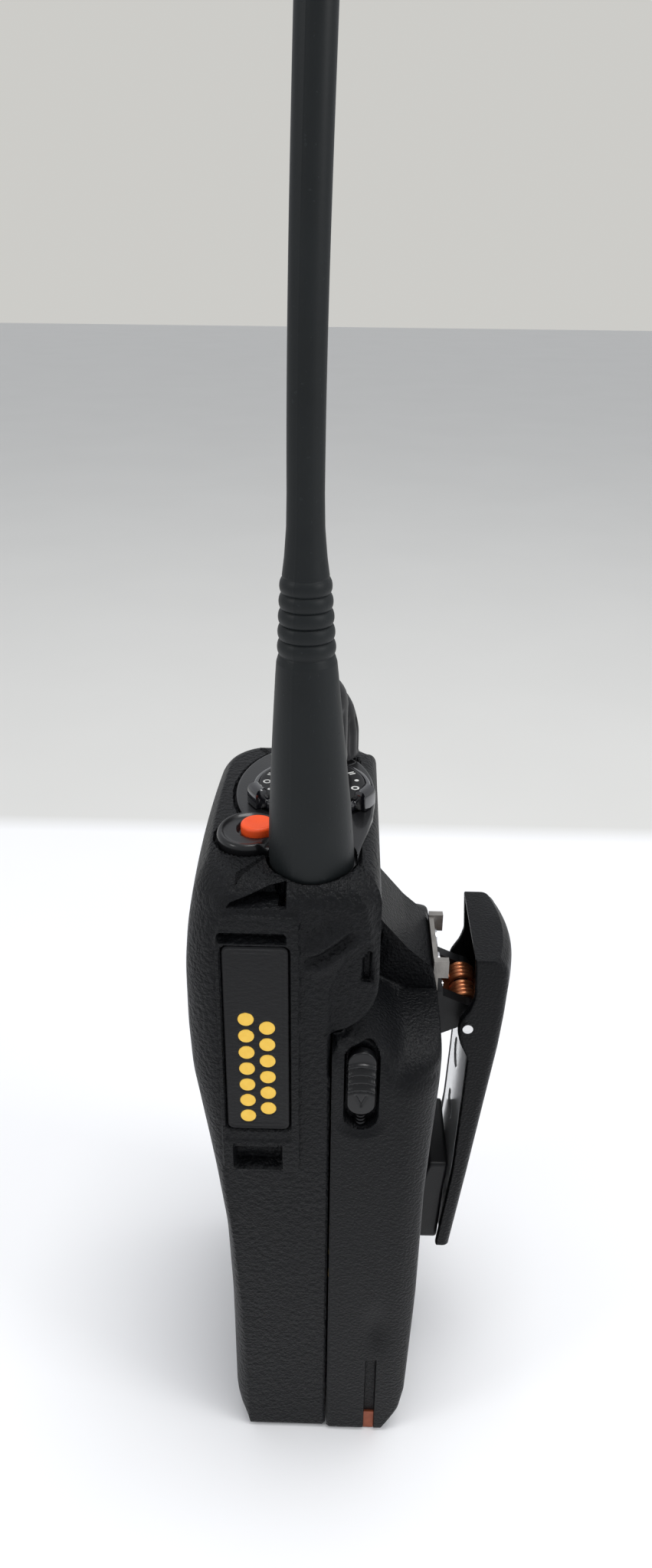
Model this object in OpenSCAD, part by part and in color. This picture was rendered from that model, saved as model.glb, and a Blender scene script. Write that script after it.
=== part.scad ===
// Portable two way radio with its battery, belt clip and antenna.
// X runs across the width, with the accessory connector at +X and the push-to-talk button at -X.
// Y runs from the front (-Y) to the belt clip (+Y), and Y = 0 is at the seam between radio and battery.
// Z runs up from the base.

/* [Body] */
// Width of the case and the battery
body_w = 58.3; // [57:0.1:60]
// Height of the case, without knobs and antenna
body_h = 139; // [138:0.5:141]
// Thickness of the moulded walls
wall = 2; // [1.8:0.1:2.2]
// Gap along the seam between the case and the battery
seam_gap = 0.35; // [0.3:0.05:0.5]

/* [Antenna] */
// Length of the antenna from its foot to its tip
antenna_len = 160; // [120:5:200]
// Radius of the boot at its foot
boot_r = 7.2; // [7:0.1:7.3]
// Radius of the whip
whip_r = 2.8; // [2.5:0.1:3]

/* [Controls] */
// Radius of the channel knob
channel_r = 6.6; // [6:0.1:6.8]
// Radius of the volume knob
volume_r = 6; // [5.5:0.1:6.2]
// Diameter of the accessory contact pads
pad_d = 2.9; // [2.4:0.1:3.1]
// Distance between neighbouring pads in a column
pad_pitch = 3.66; // [3.4:0.02:3.8]

/* [Belt clip] */
// Width of the clip lever
clip_w = 24.4; // [24:0.2:25]
// Radius of the hinge pin
clip_pin_r = 1; // [0.9:0.1:1.1]

/* [Hidden] */
half_w = body_w / 2;
run_gap = 0.05;
case_back = -0.6 - seam_gap;
battery_front = -0.6;
tab_z = 108;
roof_z = body_h - wall;

antenna_at = [19, -4.6];
antenna_foot = body_h - 2.5;
channel_at = [-4.7, -5.5];
volume_at = [-22, -2.7];
emergency_at = [10.9, -14.5];
dial_r = 10;
dial_top = body_h + 2.6;
lever_z = body_h + 0.75;
pot_depth = 10;
switch_depth = 12;

side_back_y = 7.2;
plate_y = [-19.5, -8.1];
plate_z = [87, 127.4];
plate_depth = 1.6;
pad_col_y = [-15.66, -11.97];
pad_top_z = 112.07;

ptt_y = -9.5;
ptt_z = 101;
side_key_z = [79, 123];
key_z = 50;
key_x = [-15, 0, 15];
nav_z = 37;
lens_z = 73;
speaker_z = 110;
mic_at = [17, 88];

latch_y = 4.75;
latch_z = 97.8;
clip_axis = [25.2, 97.8];
bracket_z = [92.1, 110.6];
bracket_screw_x = [-4, 4];
bracket_screw_z = 107;
boss_half = 9.5;

// Points of a round stretch, from angle a0 to a1
function arc(cx, cy, r, a0, a1, n) =
    [for (i = [0 : n]) [cx + r * cos(a0 + (a1 - a0) * i / n), cy + r * sin(a0 + (a1 - a0) * i / n)]];

// Outline of a rectangle from a to b with corners of radius r
function round_rect(a, b, r, n) = concat(
    arc(b[0] - r, b[1] - r, r, 0, 90, n),
    arc(a[0] + r, b[1] - r, r, 90, 180, n),
    arc(a[0] + r, a[1] + r, r, 180, 270, n),
    arc(b[0] - r, a[1] + r, r, 270, 360, n));

// Outline of an ellipse
function oval(cx, cy, rx, ry, n) =
    [for (i = [0 : n - 1]) [cx + rx * cos(360 * i / n), cy + ry * sin(360 * i / n)]];

// Side outline of the radio case, moved inwards by d, as [Y, Z] points
function case_front(d) = [
    [-16.5 + d, 0.4 + d], [-19.2 + d, 3.2 + d * 0.6], [-20.3 + d, 8], [-20.3 + d, 40], [-20.9 + d, 60],
    [-22.5 + d, 74], [-24.7 + d, 89], [-26 + d, 98], [-26.4 + d, 108], [-26.3 + d, 120],
    [-25.6 + d, 129], [-24.6 + d, 135 - d], [-22.4 + d, body_h - d]];

function case_side() = concat(
    case_front(0),
    arc(side_back_y - 3, body_h - 3, 3, 90, 0, 5),
    [[7.2, 119.5], [7, 117], [6.3, 114.5], [5.2, 112.4], [3.8, 110.8], [2.2, 109.7]],
    [[0.6, tab_z + 1.1], [case_back, tab_z + 0.9], [case_back, 0.4]]);

function case_room() = concat(
    case_front(wall),
    [[side_back_y - wall, roof_z]],
    arc(side_back_y - 8, tab_z + 12.5, 8 - wall, 0, -62, 6),
    [[case_back - 1.4, tab_z + 2.8], [case_back - 1.4, wall]]);

// Side outline of the battery, moved inwards by d
function battery_side(d) = concat(
    [[battery_front + d, d * 1.2], [battery_front + d, tab_z - 0.1 - d], [0.8 + d, tab_z + 0.2 - d]],
    [[2.6 + d, 109 - d], [4.3 + d, 110.2 - d], [5.8 + d, 112 - d], [6.9 + d, 114.2 - d]],
    [[7.5 + d, 116.9 - d], [7.65 + d, 119 - d], [7.65 + d, 120.7 - 2.2 * d], [8.4, 119.9 - 1.4 * d]],
    [[13.1 - d * 0.3, 114.2 - d], [18 - d, 109.8 - d], [19.1 - d, 105], [19.5 - d, 99], [18.2 - d, 83]],
    [[17.4 - d, 70], [17.1 - d, 42], [15.9 - d, 13.2], [14.8 - d, 7.4], [10.7 - d * 0.5, d * 1.2]]);

// A [Y, Z] outline carried along X, and an [X, Z] outline carried along Y
module along_x(pts, w) { rotate([90, 0, 90]) linear_extrude(w, center = true) polygon(pts); }
module along_y(pts, w) { rotate([90, 0, 0]) linear_extrude(w, center = true) polygon(pts); }

// An [X, Y] outline carried from z0 up to z1
module along_z(pts, z0, z1) { translate([0, 0, z0]) linear_extrude(z1 - z0) polygon(pts); }

// Round bars along X, Y and Z, starting at p
module bar_x(p, r, h) { translate(p) rotate([0, 90, 0]) cylinder(r = r, h = h, $fn = 40); }
module bar_y(p, r, h) { translate(p) rotate([-90, 0, 0]) cylinder(r = r, h = h, $fn = 40); }
module bar_z(p, r, h) { translate(p) cylinder(r = r, h = h, $fn = 48); }

// A box between two corners
module block(a, b) { translate(a) cube(b - a); }

module both_sides() {
    children();
    mirror([1, 0, 0]) children();
}

// ---------------------------------------------------------------- radio case

screw_xz = [[-24, 8], [24, 8], [-24, 68], [24, 68]];

module case_blank() {
    intersection() {
        along_x(case_side(), body_w);
        along_z(round_rect([-half_w, -26.5], [half_w, 8.5], 5, 6), -1, body_h + 1);
        along_y(round_rect([-half_w, 0], [half_w, body_h], 3.2, 5), 80);
    }
}

module front_case() {
    color([0.05, 0.05, 0.055]) difference() {
        union() {
            difference() {
                case_blank();
                along_x(case_room(), body_w - 2 * wall);
                // the open back, which the chassis closes
                block([-half_w + wall, -8, wall], [half_w - wall, 3, tab_z - 2]);
            }
            for (p = screw_xz) bar_y([p[0], -18.6 - p[1] / 40, p[1]], 2.2, 15 + p[1] / 40);
            // thicker wall behind the connector plate
            block([half_w - 3.2, -20.6, 84], [half_w - 1, -7, 131]);
        }
        for (p = screw_xz) bar_y([p[0], -14, p[1]], 0.95, 14);
        // connector pocket, the slot above it, the notch below it and the wedge at the shoulder
        along_x_pocket(
            round_rect([plate_y[0] - 0.1, plate_z[0] - 0.1], [plate_y[1] + 0.1, plate_z[1] + 0.1], 1.3, 4),
            half_w - plate_depth);
        block([half_w - 2.2, -20, 128.1], [half_w + 2, -8.5, 129.9]);
        block([half_w - 1.6, -18.6, 77.6], [half_w + 2, -9.7, 83.4]);
        along_x_pocket([[-17.8, 135.2], [-8.8, 135.2], [-8.8, 138], [-12, 138]], half_w - 2.6);
        // sunken tab at each side, where a latch of the battery would reach
        both_sides() along_x_pocket(concat([[case_back - 1, 107], [-0.6, 118], [1.7, 124.4]],
            [[7.6, 129], [9, 129], [9, 107]]), half_w - 0.8);
        both_sides() block([half_w - 1.9, 4.3, 119.8], [half_w + 1, 5.9, 126.4]);
        // bores of the top controls
        bar_z([antenna_at[0], antenna_at[1], antenna_foot - 0.2], boot_r + 0.7, 6);
        bar_z([antenna_at[0], antenna_at[1], 130], 4.1, 12);
        bar_z([channel_at[0], channel_at[1], 130], 3.6, 12);
        bar_z([volume_at[0], volume_at[1], 130], 3.6, 12);
        bar_z([emergency_at[0], emergency_at[1], 130], 2.6, 12);
        bar_z([emergency_at[0], emergency_at[1], body_h - 1.3], 3.3, 4);
        // holes for the side buttons
        block([-half_w - 2, ptt_y - 4.7, ptt_z - 15.2], [-half_w + 4, ptt_y + 4.7, ptt_z + 15.2]);
        for (z = side_key_z) bar_x([-half_w - 2, ptt_y, z], 3.7, 6);
        // front keys, lens window, microphone and speaker openings
        for (x = key_x) block([x - 5.3, -24, key_z - 2.8], [x + 5.3, -16, key_z + 2.8]);
        block([-9.8, -24, nav_z - 5.3], [9.8, -16, nav_z + 5.3]);
        block([-19, -26, lens_z - 10.2], [19, -18, lens_z + 10.2]);
        bar_y([mic_at[0], -27, mic_at[1]], 0.9, 8);
        for (i = [-5 : 5])
            block([-speaker_slot(i), -28, speaker_row(i) - 0.6],
                [speaker_slot(i), -20, speaker_row(i) + 0.6]);
    }
}

// Height and half length of the speaker slot number i, inside a circle
function speaker_row(i) = speaker_z + 2.6 * i;
function speaker_slot(i) = sqrt(15.2 * 15.2 - pow(2.6 * i, 2));

// Cuts an outline into the +X side, down to the plane x
module along_x_pocket(pts, x) {
    translate([x + 5, 0, 0]) along_x(pts, 10);
}

module top_panel() {
    color([0.03, 0.03, 0.035]) difference() {
        union() {
            along_z(oval(-6.2, -6.8, 19.6, 13.2, 48), body_h, body_h + 0.6);
            along_z(oval(11.9, -15.9, 6.7, 5.8, 40), body_h, body_h + 1.1);
            along_z([[-6, 6.4], [4.1, 6.1], [9.6, 5.2], [15.8, 3.9], [19.4, 3.2], [18, -11], [2, -10]],
                body_h, body_h + 0.5);
        }
        bar_z([antenna_at[0], antenna_at[1], body_h - 1], boot_r + 0.8, 4);
        bar_z([channel_at[0], channel_at[1], body_h - 1], 3.6, 4);
        bar_z([volume_at[0], volume_at[1], body_h - 1], 3.6, 4);
        bar_z([emergency_at[0], emergency_at[1], body_h - 1], 3.3, 4);
    }
}

module channel_dial() {
    color([0.06, 0.06, 0.065]) difference() {
        bar_z([channel_at[0], channel_at[1], body_h + 0.6], dial_r, dial_top - body_h - 0.6);
        bar_z([channel_at[0], channel_at[1], body_h], 3.6, 4);
    }
}

module status_lens() {
    color([0.75, 0.9, 0.75]) bar_z([-20, -13, body_h + 0.6], 1.3, 0.5);
}

module connector_plate() {
    color([0.04, 0.04, 0.045]) difference() {
        translate([half_w - plate_depth + 0.65, 0, 0])
            along_x(round_rect([plate_y[0], plate_z[0]], [plate_y[1], plate_z[1]], 1.2, 4), 1.3);
        for (p = pad_points) bar_x([half_w - 0.45, p[0], p[1]], pad_d / 2, 1);
    }
}

pad_points = concat(
    [for (i = [0 : 6]) [pad_col_y[0], pad_top_z - pad_pitch * i]],
    [for (i = [0 : 5]) [pad_col_y[1], pad_top_z - pad_pitch * (i + 0.5)]]);

module contact_pads() {
    color([0.94, 0.78, 0.3]) for (p = pad_points) bar_x([half_w - 0.45, p[0], p[1]], pad_d / 2, 0.2);
}

module display_lens() {
    color([0.1, 0.12, 0.13]) difference() {
        block([-18.8, -23.2, lens_z - 10], [18.8, -19.8, lens_z + 10]);
        along_x([[-40, lens_z - 20], [-21, lens_z - 20], [-20.9, lens_z - 10], [-23.1, lens_z + 10],
            [-23.1, lens_z + 20], [-40, 110]], 60);
    }
}

module speaker_screen() {
    color([0.1, 0.1, 0.1]) bar_y([0, -23.35, speaker_z], 15.6, 0.3);
}

// A turned piece whose [radius, depth] outline runs back from the speaker's front plane
module speaker_turned(pts) {
    translate([0, -23, speaker_z]) rotate([-90, 0, 0]) rotate_extrude($fn = 48) polygon(pts);
}

module speaker_frame() {
    color([0.5, 0.5, 0.52]) speaker_turned([[13.9, 0], [15.6, 0], [15.6, 1.4], [14.6, 1.4], [8.2, 4.6],
        [8.2, 7.2], [0, 7.2], [0, 5.2], [7.4, 5.2], [7.4, 4.4], [13.9, 1.2]]);
}

module speaker_cone() {
    color([0.2, 0.2, 0.22]) speaker_turned([[0, 2.6], [4, 2], [12.6, 0.2], [13.7, 0.2], [13.4, 0.8],
        [12.6, 0.9], [4, 2.7], [0, 3.3]]);
}

module microphone() {
    color([0.6, 0.6, 0.62]) bar_y([mic_at[0], -21.8, mic_at[1]], 3, 2.2);
}

module rear_chassis() {
    color([0.62, 0.63, 0.65]) difference() {
        union() {
            block([-26.4, -3.2, 2.8], [26.4, -1.5, 105.4]);
            both_sides() block([21, -13, 12], [21.8, -3.2, 95]);
            block([-21, -13, 12], [21, -3.2, 13]);
            both_sides() block([9, -3.2, 96.5], [20.8, -2, 105]);
        }
        for (p = screw_xz) bar_y([p[0], -4, p[1]], 1.15, 4);
        for (p = screw_xz) bar_y([p[0], -2.3, p[1]], 2.1, 2);
        block([-9.2, -4, 17.8], [9.2, 0, 24.2]);
    }
}

module case_gasket() {
    color([0.15, 0.3, 0.5]) difference() {
        along_y_ring([-26.9, 2.3], [26.9, 105.7], 3, -4, -3.3);
        along_y_ring([-26.3, 2.9], [26.3, 105.1], 2.4, -5, -2);
    }
}

// A round-cornered block between two Y planes
module along_y_ring(a, b, r, y0, y1) {
    translate([0, (y0 + y1) / 2, 0]) along_y(round_rect(a, b, r, 4), y1 - y0);
}

module chassis_screws() {
    color([0.7, 0.7, 0.72]) for (p = screw_xz) {
        difference() {
            bar_y([p[0], -2.25, p[1]], 2, 0.75);
            bar_y([p[0], -1.95, p[1]], 0.8, 1);
        }
        bar_y([p[0], -9, p[1]], 0.93, 6.75);
    }
}

// -------------------------------------------------------------- electronics

module main_board() {
    color([0.05, 0.3, 0.15]) difference() {
        block([-20.8, -7.6, 14], [20.8, -6.4, 95]);
        for (x = [-18, 18]) for (z = [18, 91]) bar_y([x, -9, z], 1.1, 5);
    }
}

module control_board() {
    color([0.05, 0.3, 0.15]) difference() {
        block([-20.8, -15.4, 22], [20.8, -14.4, 92.5]);
        for (x = [-18, 18]) for (z = [26, 89.5]) bar_y([x, -17, z], 1.1, 5);
    }
}

module board_screws() {
    color([0.75, 0.7, 0.4]) {
        for (x = [-18, 18]) for (z = [18, 91]) {
            bar_y([x, -8.3, z], 1.8, 0.7);
            bar_y([x, -7.6, z], 1.05, 4.3);
        }
        for (x = [-18, 18]) for (z = [26, 89.5]) {
            bar_y([x, -16.1, z], 1.8, 0.7);
            bar_y([x, -15.4, z], 1.05, 2.4);
        }
    }
}

module rf_shields() {
    color([0.75, 0.76, 0.78]) for (s = [[-15, 24, 0, 50], [2, 24, 15, 50], [-15, 53, 15, 84]]) difference() {
        block([s[0], -11.4, s[1]], [s[2], -7.65, s[3]]);
        block([s[0] + 0.3, -11.1, s[1] + 0.3], [s[2] - 0.3, -7, s[3] - 0.3]);
    }
}

module board_connector() {
    color([0.85, 0.83, 0.75]) block([-11, -14.4, 86.6], [11, -7.6, 89]);
}

module display_module() {
    color([0.55, 0.6, 0.55]) block([-18.4, -18.8, 63], [18.4, -15.6, 83]);
}

module key_mat() {
    color([0.3, 0.3, 0.32]) block([-20.4, -16.7, 29], [20.4, -15.6, 56]);
}

module emergency_switch() {
    color([0.2, 0.2, 0.22]) {
        translate([emergency_at[0] - 3.2, emergency_at[1] - 3.2, body_h - 10.2]) cube([6.4, 6.4, 3.8]);
        bar_z([emergency_at[0], emergency_at[1], body_h - 6.4], 1.4, 1.2);
    }
}

// Rotary control with its threaded bush, up to z1; the shaft of the knob turns in it
module rotary(at, body_r, depth, z1) {
    difference() {
        union() {
            bar_z([at[0], at[1], roof_z - depth], body_r, depth - 0.3);
            bar_z([at[0], at[1], roof_z - 1], 3.5, z1 - roof_z + 1);
        }
        bar_z([at[0], at[1], roof_z - depth + 2], 1.6 + run_gap, depth + 5);
    }
}

module channel_switch() { color([0.45, 0.45, 0.47]) rotary(channel_at, 6.8, switch_depth, body_h + 1.8); }
module volume_pot() { color([0.5, 0.45, 0.35]) rotary(volume_at, 5, pot_depth, body_h + 0.9); }

module side_switches() {
    color([0.2, 0.2, 0.22]) for (z = concat([ptt_z], side_key_z))
        block([-half_w + 5.2, ptt_y - 3, z - 3], [-half_w + 6.7, ptt_y + 3, z + 3]);
}

module antenna_bush() {
    color([0.8, 0.65, 0.3]) difference() {
        union() {
            bar_z([antenna_at[0], antenna_at[1], 126], 4, 10.4);
            bar_z([antenna_at[0], antenna_at[1], 132.4], 6.4, 1.6);
        }
        bar_z([antenna_at[0], antenna_at[1], 127.5], 2.05, 10);
    }
}

module battery_terminals() {
    color([0.85, 0.7, 0.3]) for (x = [-6, 0, 6]) {
        block([x - 1.5, -6.3, 18.2], [x + 1.5, -2.2, 23.8]);
        bar_y([x, -2.2, 21], 0.9, 1.5);
    }
}

// ------------------------------------------------------------------ antenna

// One rounded ring of the boot at height z, as [radius, z] points
function ridge(z, r) = [[r - 0.45, z], [r, z + 0.5], [r, z + 1.9]];

module antenna_sheath() {
    color([0.06, 0.065, 0.07]) translate([antenna_at[0], antenna_at[1], antenna_foot]) difference() {
        rotate_extrude($fn = 64) polygon(concat(
            [[0, 0], [6.3, 0], [boot_r, 0.9], [boot_r, 4], [6.75, 13.8], [6.15, 21.6]],
            [[5.5, 29.5], [5, 35.3], [4.5, 38.6]],
            [for (i = [0 : 4]) each ridge(39.2 + 2.45 * i, 4.25 - 0.06 * i)],
            [[3.7, 51.6], [3.2, 56.9], [whip_r, 61.7], [whip_r, 72.5], [whip_r, antenna_len - 1.6]],
            [[whip_r - 0.7, antenna_len - 0.4], [0, antenna_len]]));
        translate([0, 0, -1]) cylinder(r = 1.95, h = 13, $fn = 48);
        translate([0, 0, 11.9]) cylinder(r = 1.25, h = antenna_len - 20, $fn = 48);
    }
}

module antenna_core() {
    color([0.8, 0.65, 0.3]) {
        bar_z([antenna_at[0], antenna_at[1], 128], 1.9, 20.45);
        bar_z([antenna_at[0], antenna_at[1], 148.45], 1.2, antenna_len - 21);
    }
}

// ----------------------------------------------------------- moving controls

// Shaft of a knob, which turns in its switch
module knob_shaft(at, depth, z1) {
    bar_z([at[0], at[1], roof_z - depth + 2.3], 1.6, z1 - roof_z + depth - 2.3);
}

// Finger grooves around a knob of radius r
module grip_grooves(r, z, h) {
    for (i = [0 : 11]) rotate([0, 0, 30 * i]) translate([r + 1.1, 0, z]) cylinder(r = 1.5, h = h, $fn = 24);
}

module channel_knob() {
    color([0.05, 0.05, 0.055]) {
        translate([channel_at[0], channel_at[1], dial_top + 0.3]) difference() {
            rotate_extrude($fn = 64) polygon([[0, 0], [5.4, 0], [5.4, 4], [channel_r, 4.9], [channel_r, 16],
                [channel_r - 0.7, 18.2], [channel_r - 2, 19.9], [3.2, 20.8], [0, 21.1]]);
            grip_grooves(channel_r, 5.6, 10);
        }
        knob_shaft(channel_at, switch_depth, dial_top + 1);
    }
}

module volume_knob() {
    color([0.05, 0.05, 0.055]) {
        translate([volume_at[0], volume_at[1], body_h + 1.2]) difference() {
            rotate_extrude($fn = 64) polygon([[0, 0], [volume_r, 0], [volume_r, 5], [volume_r - 0.5, 7.5],
                [volume_r - 1.5, 10.4], [volume_r - 2.9, 12.6], [volume_r - 4.9, 13.9], [0, 14.2]]);
            grip_grooves(volume_r, 0.8, 6);
        }
        knob_shaft(volume_at, pot_depth, body_h + 2);
    }
}

module lever_ring() {
    color([0.02, 0.02, 0.025]) translate([channel_at[0], channel_at[1], lever_z]) difference() {
        union() {
            cylinder(r = dial_r + 1.1, h = 1.5, $fn = 72);
            for (a = [-60, 60]) rotate([0, 0, a]) translate([dial_r + 0.5, -2, 0.5]) cube([2.1, 4, 3.15]);
        }
        translate([0, 0, -1]) cylinder(r = dial_r + run_gap, h = 6, $fn = 72);
    }
}

module emergency_button() {
    color([0.98, 0.3, 0.08]) {
        bar_z([emergency_at[0], emergency_at[1], body_h + 0.2], 3, 2.1);
        bar_z([emergency_at[0], emergency_at[1], body_h - 4], 2.2, 4.3);
    }
}

module ptt_button() {
    color([0.07, 0.07, 0.075]) {
        translate([-half_w, 0, 0])
            along_x(round_rect([ptt_y - 4.4, ptt_z - 14.9], [ptt_y + 4.4, ptt_z + 14.9], 2, 4), 3);
        block([-half_w + 1.5, ptt_y - 3.6, ptt_z - 14], [-half_w + 4.2, ptt_y + 3.6, ptt_z + 14]);
    }
}

module side_key(z) {
    color([0.12, 0.12, 0.13]) {
        bar_x([-half_w - 1.3, ptt_y, z], 3.4, 5.5);
        for (d = [-1, 1]) bar_x([-half_w - 1.5, ptt_y, z + d], 0.35, 0.6);
    }
}
module upper_side_key() { side_key(side_key_z[1]); }
module lower_side_key() { side_key(side_key_z[0]); }

module front_key(x) {
    color([0.14, 0.14, 0.15]) {
        translate([x, -19.65, key_z]) along_y(round_rect([-5, -2.5], [5, 2.5], 1.6, 4), 3.3);
        block([x - 4.4, -18, key_z - 2], [x + 4.4, -17.4, key_z + 2]);
    }
}
module left_front_key() { front_key(key_x[0]); }
module middle_front_key() { front_key(key_x[1]); }
module right_front_key() { front_key(key_x[2]); }

module navigation_key() {
    color([0.14, 0.14, 0.15]) {
        translate([0, -19.8, nav_z]) along_y(round_rect([-9.5, -5], [9.5, 5], 4, 5), 3.6);
        block([-8, -18, nav_z - 4], [8, -17.4, nav_z + 4]);
    }
}

// ------------------------------------------------------------------ battery

module battery_blank(d) {
    intersection() {
        along_x(battery_side(d), body_w - 2 * d);
        along_z(round_rect([-half_w + d, -8], [half_w - d, 19.9 - d], 7.5 - d, 7), -1, body_h + 1);
        along_y(round_rect([-half_w + d, 0], [half_w - d, body_h], 3, 5), 80);
    }
}

latch_span = [latch_z - 10.3, latch_z + 9];

module battery_case() {
    color([0.06, 0.06, 0.065]) difference() {
        union() {
            difference() {
                battery_blank(0);
                intersection() {
                    battery_blank(wall);
                    union() {
                        block([-23.2, -8, wall], [23.2, 30, 102]);
                        block([-60, -8, wall], [60, 30, 93]);
                    }
                }
                // room for the inner cover
                block([-half_w + wall, battery_front - 2, wall], [half_w - wall, battery_front + 3, 105]);
            }
            both_sides() block([half_w - 5, latch_y - 4, latch_span[0] - 1.5],
                [half_w - 1.6, latch_y + 4, latch_span[1] + 0.2]);
        }
        // shoulders beside the clip boss
        both_sides() block([boss_half, 5, 108.5], [40, 30, 140]);
        both_sides() block([boss_half, 9.5, 105.3], [40, 30, 140]);
        both_sides() translate([0, 28, 0])
            along_y([[20, 106.6], [26, 102.8], [28.4, 98.8], [half_w + 0.1, 95.5], [40, 95.5], [40, 120]],
                40);
        // seats of the clip bracket and its screws
        block([-9, 18.3, bracket_z[0]], [9, 30, bracket_z[1] + 4]);
        for (x = bracket_screw_x) bar_y([x, 9, bracket_screw_z], 1.1, 14);
        // latch pockets
        both_sides() along_x_pocket(
            round_rect([latch_y - 3, latch_span[0]], [latch_y + 3, latch_span[1]], 2.9, 6), half_w - 3.3);
        // charging rails at the foot of each side
        both_sides() block([half_w - 1.1, 7.4, -1], [half_w + 1, 9.7, 23]);
    }
}

module battery_cover() {
    color([0.1, 0.1, 0.105]) difference() {
        block([-half_w + wall + 0.1, battery_front + 0.1, wall + 0.1],
            [half_w - wall - 0.1, battery_front + 1.5, 104.9]);
        both_sides() block([half_w - 5.2, -3, latch_span[0] - 2], [half_w, 3, latch_span[1] + 2]);
        block([-8.5, -2, 18.5], [8.5, 3, 23.5]);
    }
}

module battery_cells() {
    color([0.25, 0.45, 0.7]) for (z = [7.6, 39.2, 70.8])
        along_z(round_rect([-22.6, 2.2], [22.6, 12.3], 2.5, 5), z, z + 30.9);
}

module battery_board() {
    color([0.05, 0.3, 0.15]) block([-20, 1.1, 12], [20, 1.9, 30]);
}

module battery_contacts() {
    color([0.94, 0.78, 0.3]) for (x = [-6, 0, 6])
        block([x - 1.6, battery_front + 0.2, 18.6], [x + 1.6, 1.1, 23.4]);
}

module charging_contacts() {
    color([0.6, 0.25, 0.15]) both_sides() block([half_w - 1.1, 7.5, 0.3], [half_w - 0.6, 9.6, 5.6]);
}

module latch(side) {
    color([0.07, 0.07, 0.075]) mirror([side < 0 ? 1 : 0, 0, 0]) {
        difference() {
            translate([half_w - 1.75, 0, 0]) along_x(
                round_rect([latch_y - 2.6, latch_z - 7.2], [latch_y + 2.6, latch_z + 7.2], 2.5, 6), 2.5);
            for (i = [0 : 3]) translate([half_w - 1.1, latch_y - 3, latch_z - 0.9 + 1.9 * i]) cube([2, 6, 1]);
        }
    }
}
module latch_right() { latch(1); }
module latch_left() { latch(-1); }

module latch_springs() {
    color([0.7, 0.7, 0.72]) both_sides() for (i = [0 : 2])
        translate([half_w - 2.25, latch_y, latch_span[0] + 0.5 + 0.8 * i])
            rotate_extrude($fn = 24) translate([0.8, 0]) circle(r = 0.2, $fn = 16);
}

// ---------------------------------------------------------------- belt clip

// Places of the rivets between the bracket and the clip base, as [X, Z] points
rivet_xz = [[-4.3, 93.6], [4.3, 93.6], [-4.3, 102], [4.3, 102]];

module clip_bracket() {
    color([0.55, 0.54, 0.53]) difference() {
        union() {
            block([-8.75, 18.35, bracket_z[0] + 0.2], [8.75, 19.25, bracket_z[1] - 0.4]);
            // side lugs, folded up
            both_sides() block([7.2, 18.35, 106.9], [8.75, 21.2, bracket_z[1]]);
        }
        for (x = bracket_screw_x) bar_y([x, 15, bracket_screw_z], 1.25, 8);
        for (p = rivet_xz) bar_y([p[0], 15, p[1]], 0.77, 8);
    }
}

module bracket_screws() {
    color([0.7, 0.7, 0.72]) for (x = bracket_screw_x) {
        bar_y([x, 19.25, bracket_screw_z], 2.1, 0.5);
        bar_y([x, 11, bracket_screw_z], 1.08, 8.25);
    }
}

module clip_base() {
    color([0.05, 0.05, 0.055]) difference() {
        union() {
            block([-8.6, 19.35, 92.4], [8.6, 20.45, 103.4]);
            both_sides() translate([6.9, 0, 0]) along_x(concat(
                arc(clip_axis[0], clip_axis[1], 2.4, -90, 90, 10), [[20.4, 102.4], [20.4, 93]]), 2.6);
        }
        bar_x([-20, clip_axis[0], clip_axis[1]], clip_pin_r, 40);
        for (p = rivet_xz) bar_y([p[0], 15, p[1]], 0.77, 8);
    }
}

module clip_rivets() {
    color([0.8, 0.8, 0.82]) for (p = rivet_xz) {
        bar_y([p[0], 18.45, p[1]], 0.75, 2);
        bar_y([p[0], 20.45, p[1]], 0.8, 0.3);
    }
}

module clip_hinge_pin() {
    color([0.75, 0.75, 0.77]) bar_x([-12.6, clip_axis[0], clip_axis[1]], clip_pin_r, 25.2);
}

// Two coils round the pin, with legs against the base and against the lever
module clip_spring() {
    color([0.72, 0.36, 0.2]) {
        for (s = [-1, 1]) for (i = [0 : 3])
            translate([s * (3 + (i - 1.5) * 1.2), clip_axis[0], clip_axis[1]])
                rotate([0, 90, 0]) rotate_extrude($fn = 36) translate([2.6, 0]) circle(r = 0.55, $fn = 18);
        for (s = [-1, 1]) block([s * 1.2 - 0.5, 27.3, 91], [s * 1.2 + 0.5, 28.3, 97.9]);
        for (s = [-1, 1]) block([s * 1.2 - 0.5, 20.75, 97.7], [s * 1.2 + 0.5, 22.3, 102]);
    }
}

// Outline of the lever at a distance d inside its outer face
function lever_outer(d) = [
    [24.8 - d, 38.3], [28.2 - d, 59.9], [30.3 - d, 76.9], [32.4 - d, 92.7], [33.3 - d, 100.6],
    [33.9 - d, 107.7], [33.7 - d, 110.8], [32.8 - d, 112.6 - d * 0.6], [31.2 - d * 0.6, 113.5 - d]];

// Front edge of the lever's side flanges, from the top down
flange_edge = [[25.6, 113.4], [26.1, 104.9], [25.3, 102.1], [23.6, 99.1], [23.4, 96.3], [24, 93.7],
    [25.6, 90.2], [25.2, 75.6], [24.6, 60.1], [22.9, 38.3]];

// Front of the closed top and inner face of the lever's web, from the top down
web_inner = [[25.7, 113.5], [25.8, 111.8], [28.8, 111.3], [29.9, 110], [30.3, 106], [30.1, 101], [29, 89.6],
    [27, 73.4], [25.6, 60.3], [24.6, 51.3], [23.3, 38.3]];

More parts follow.
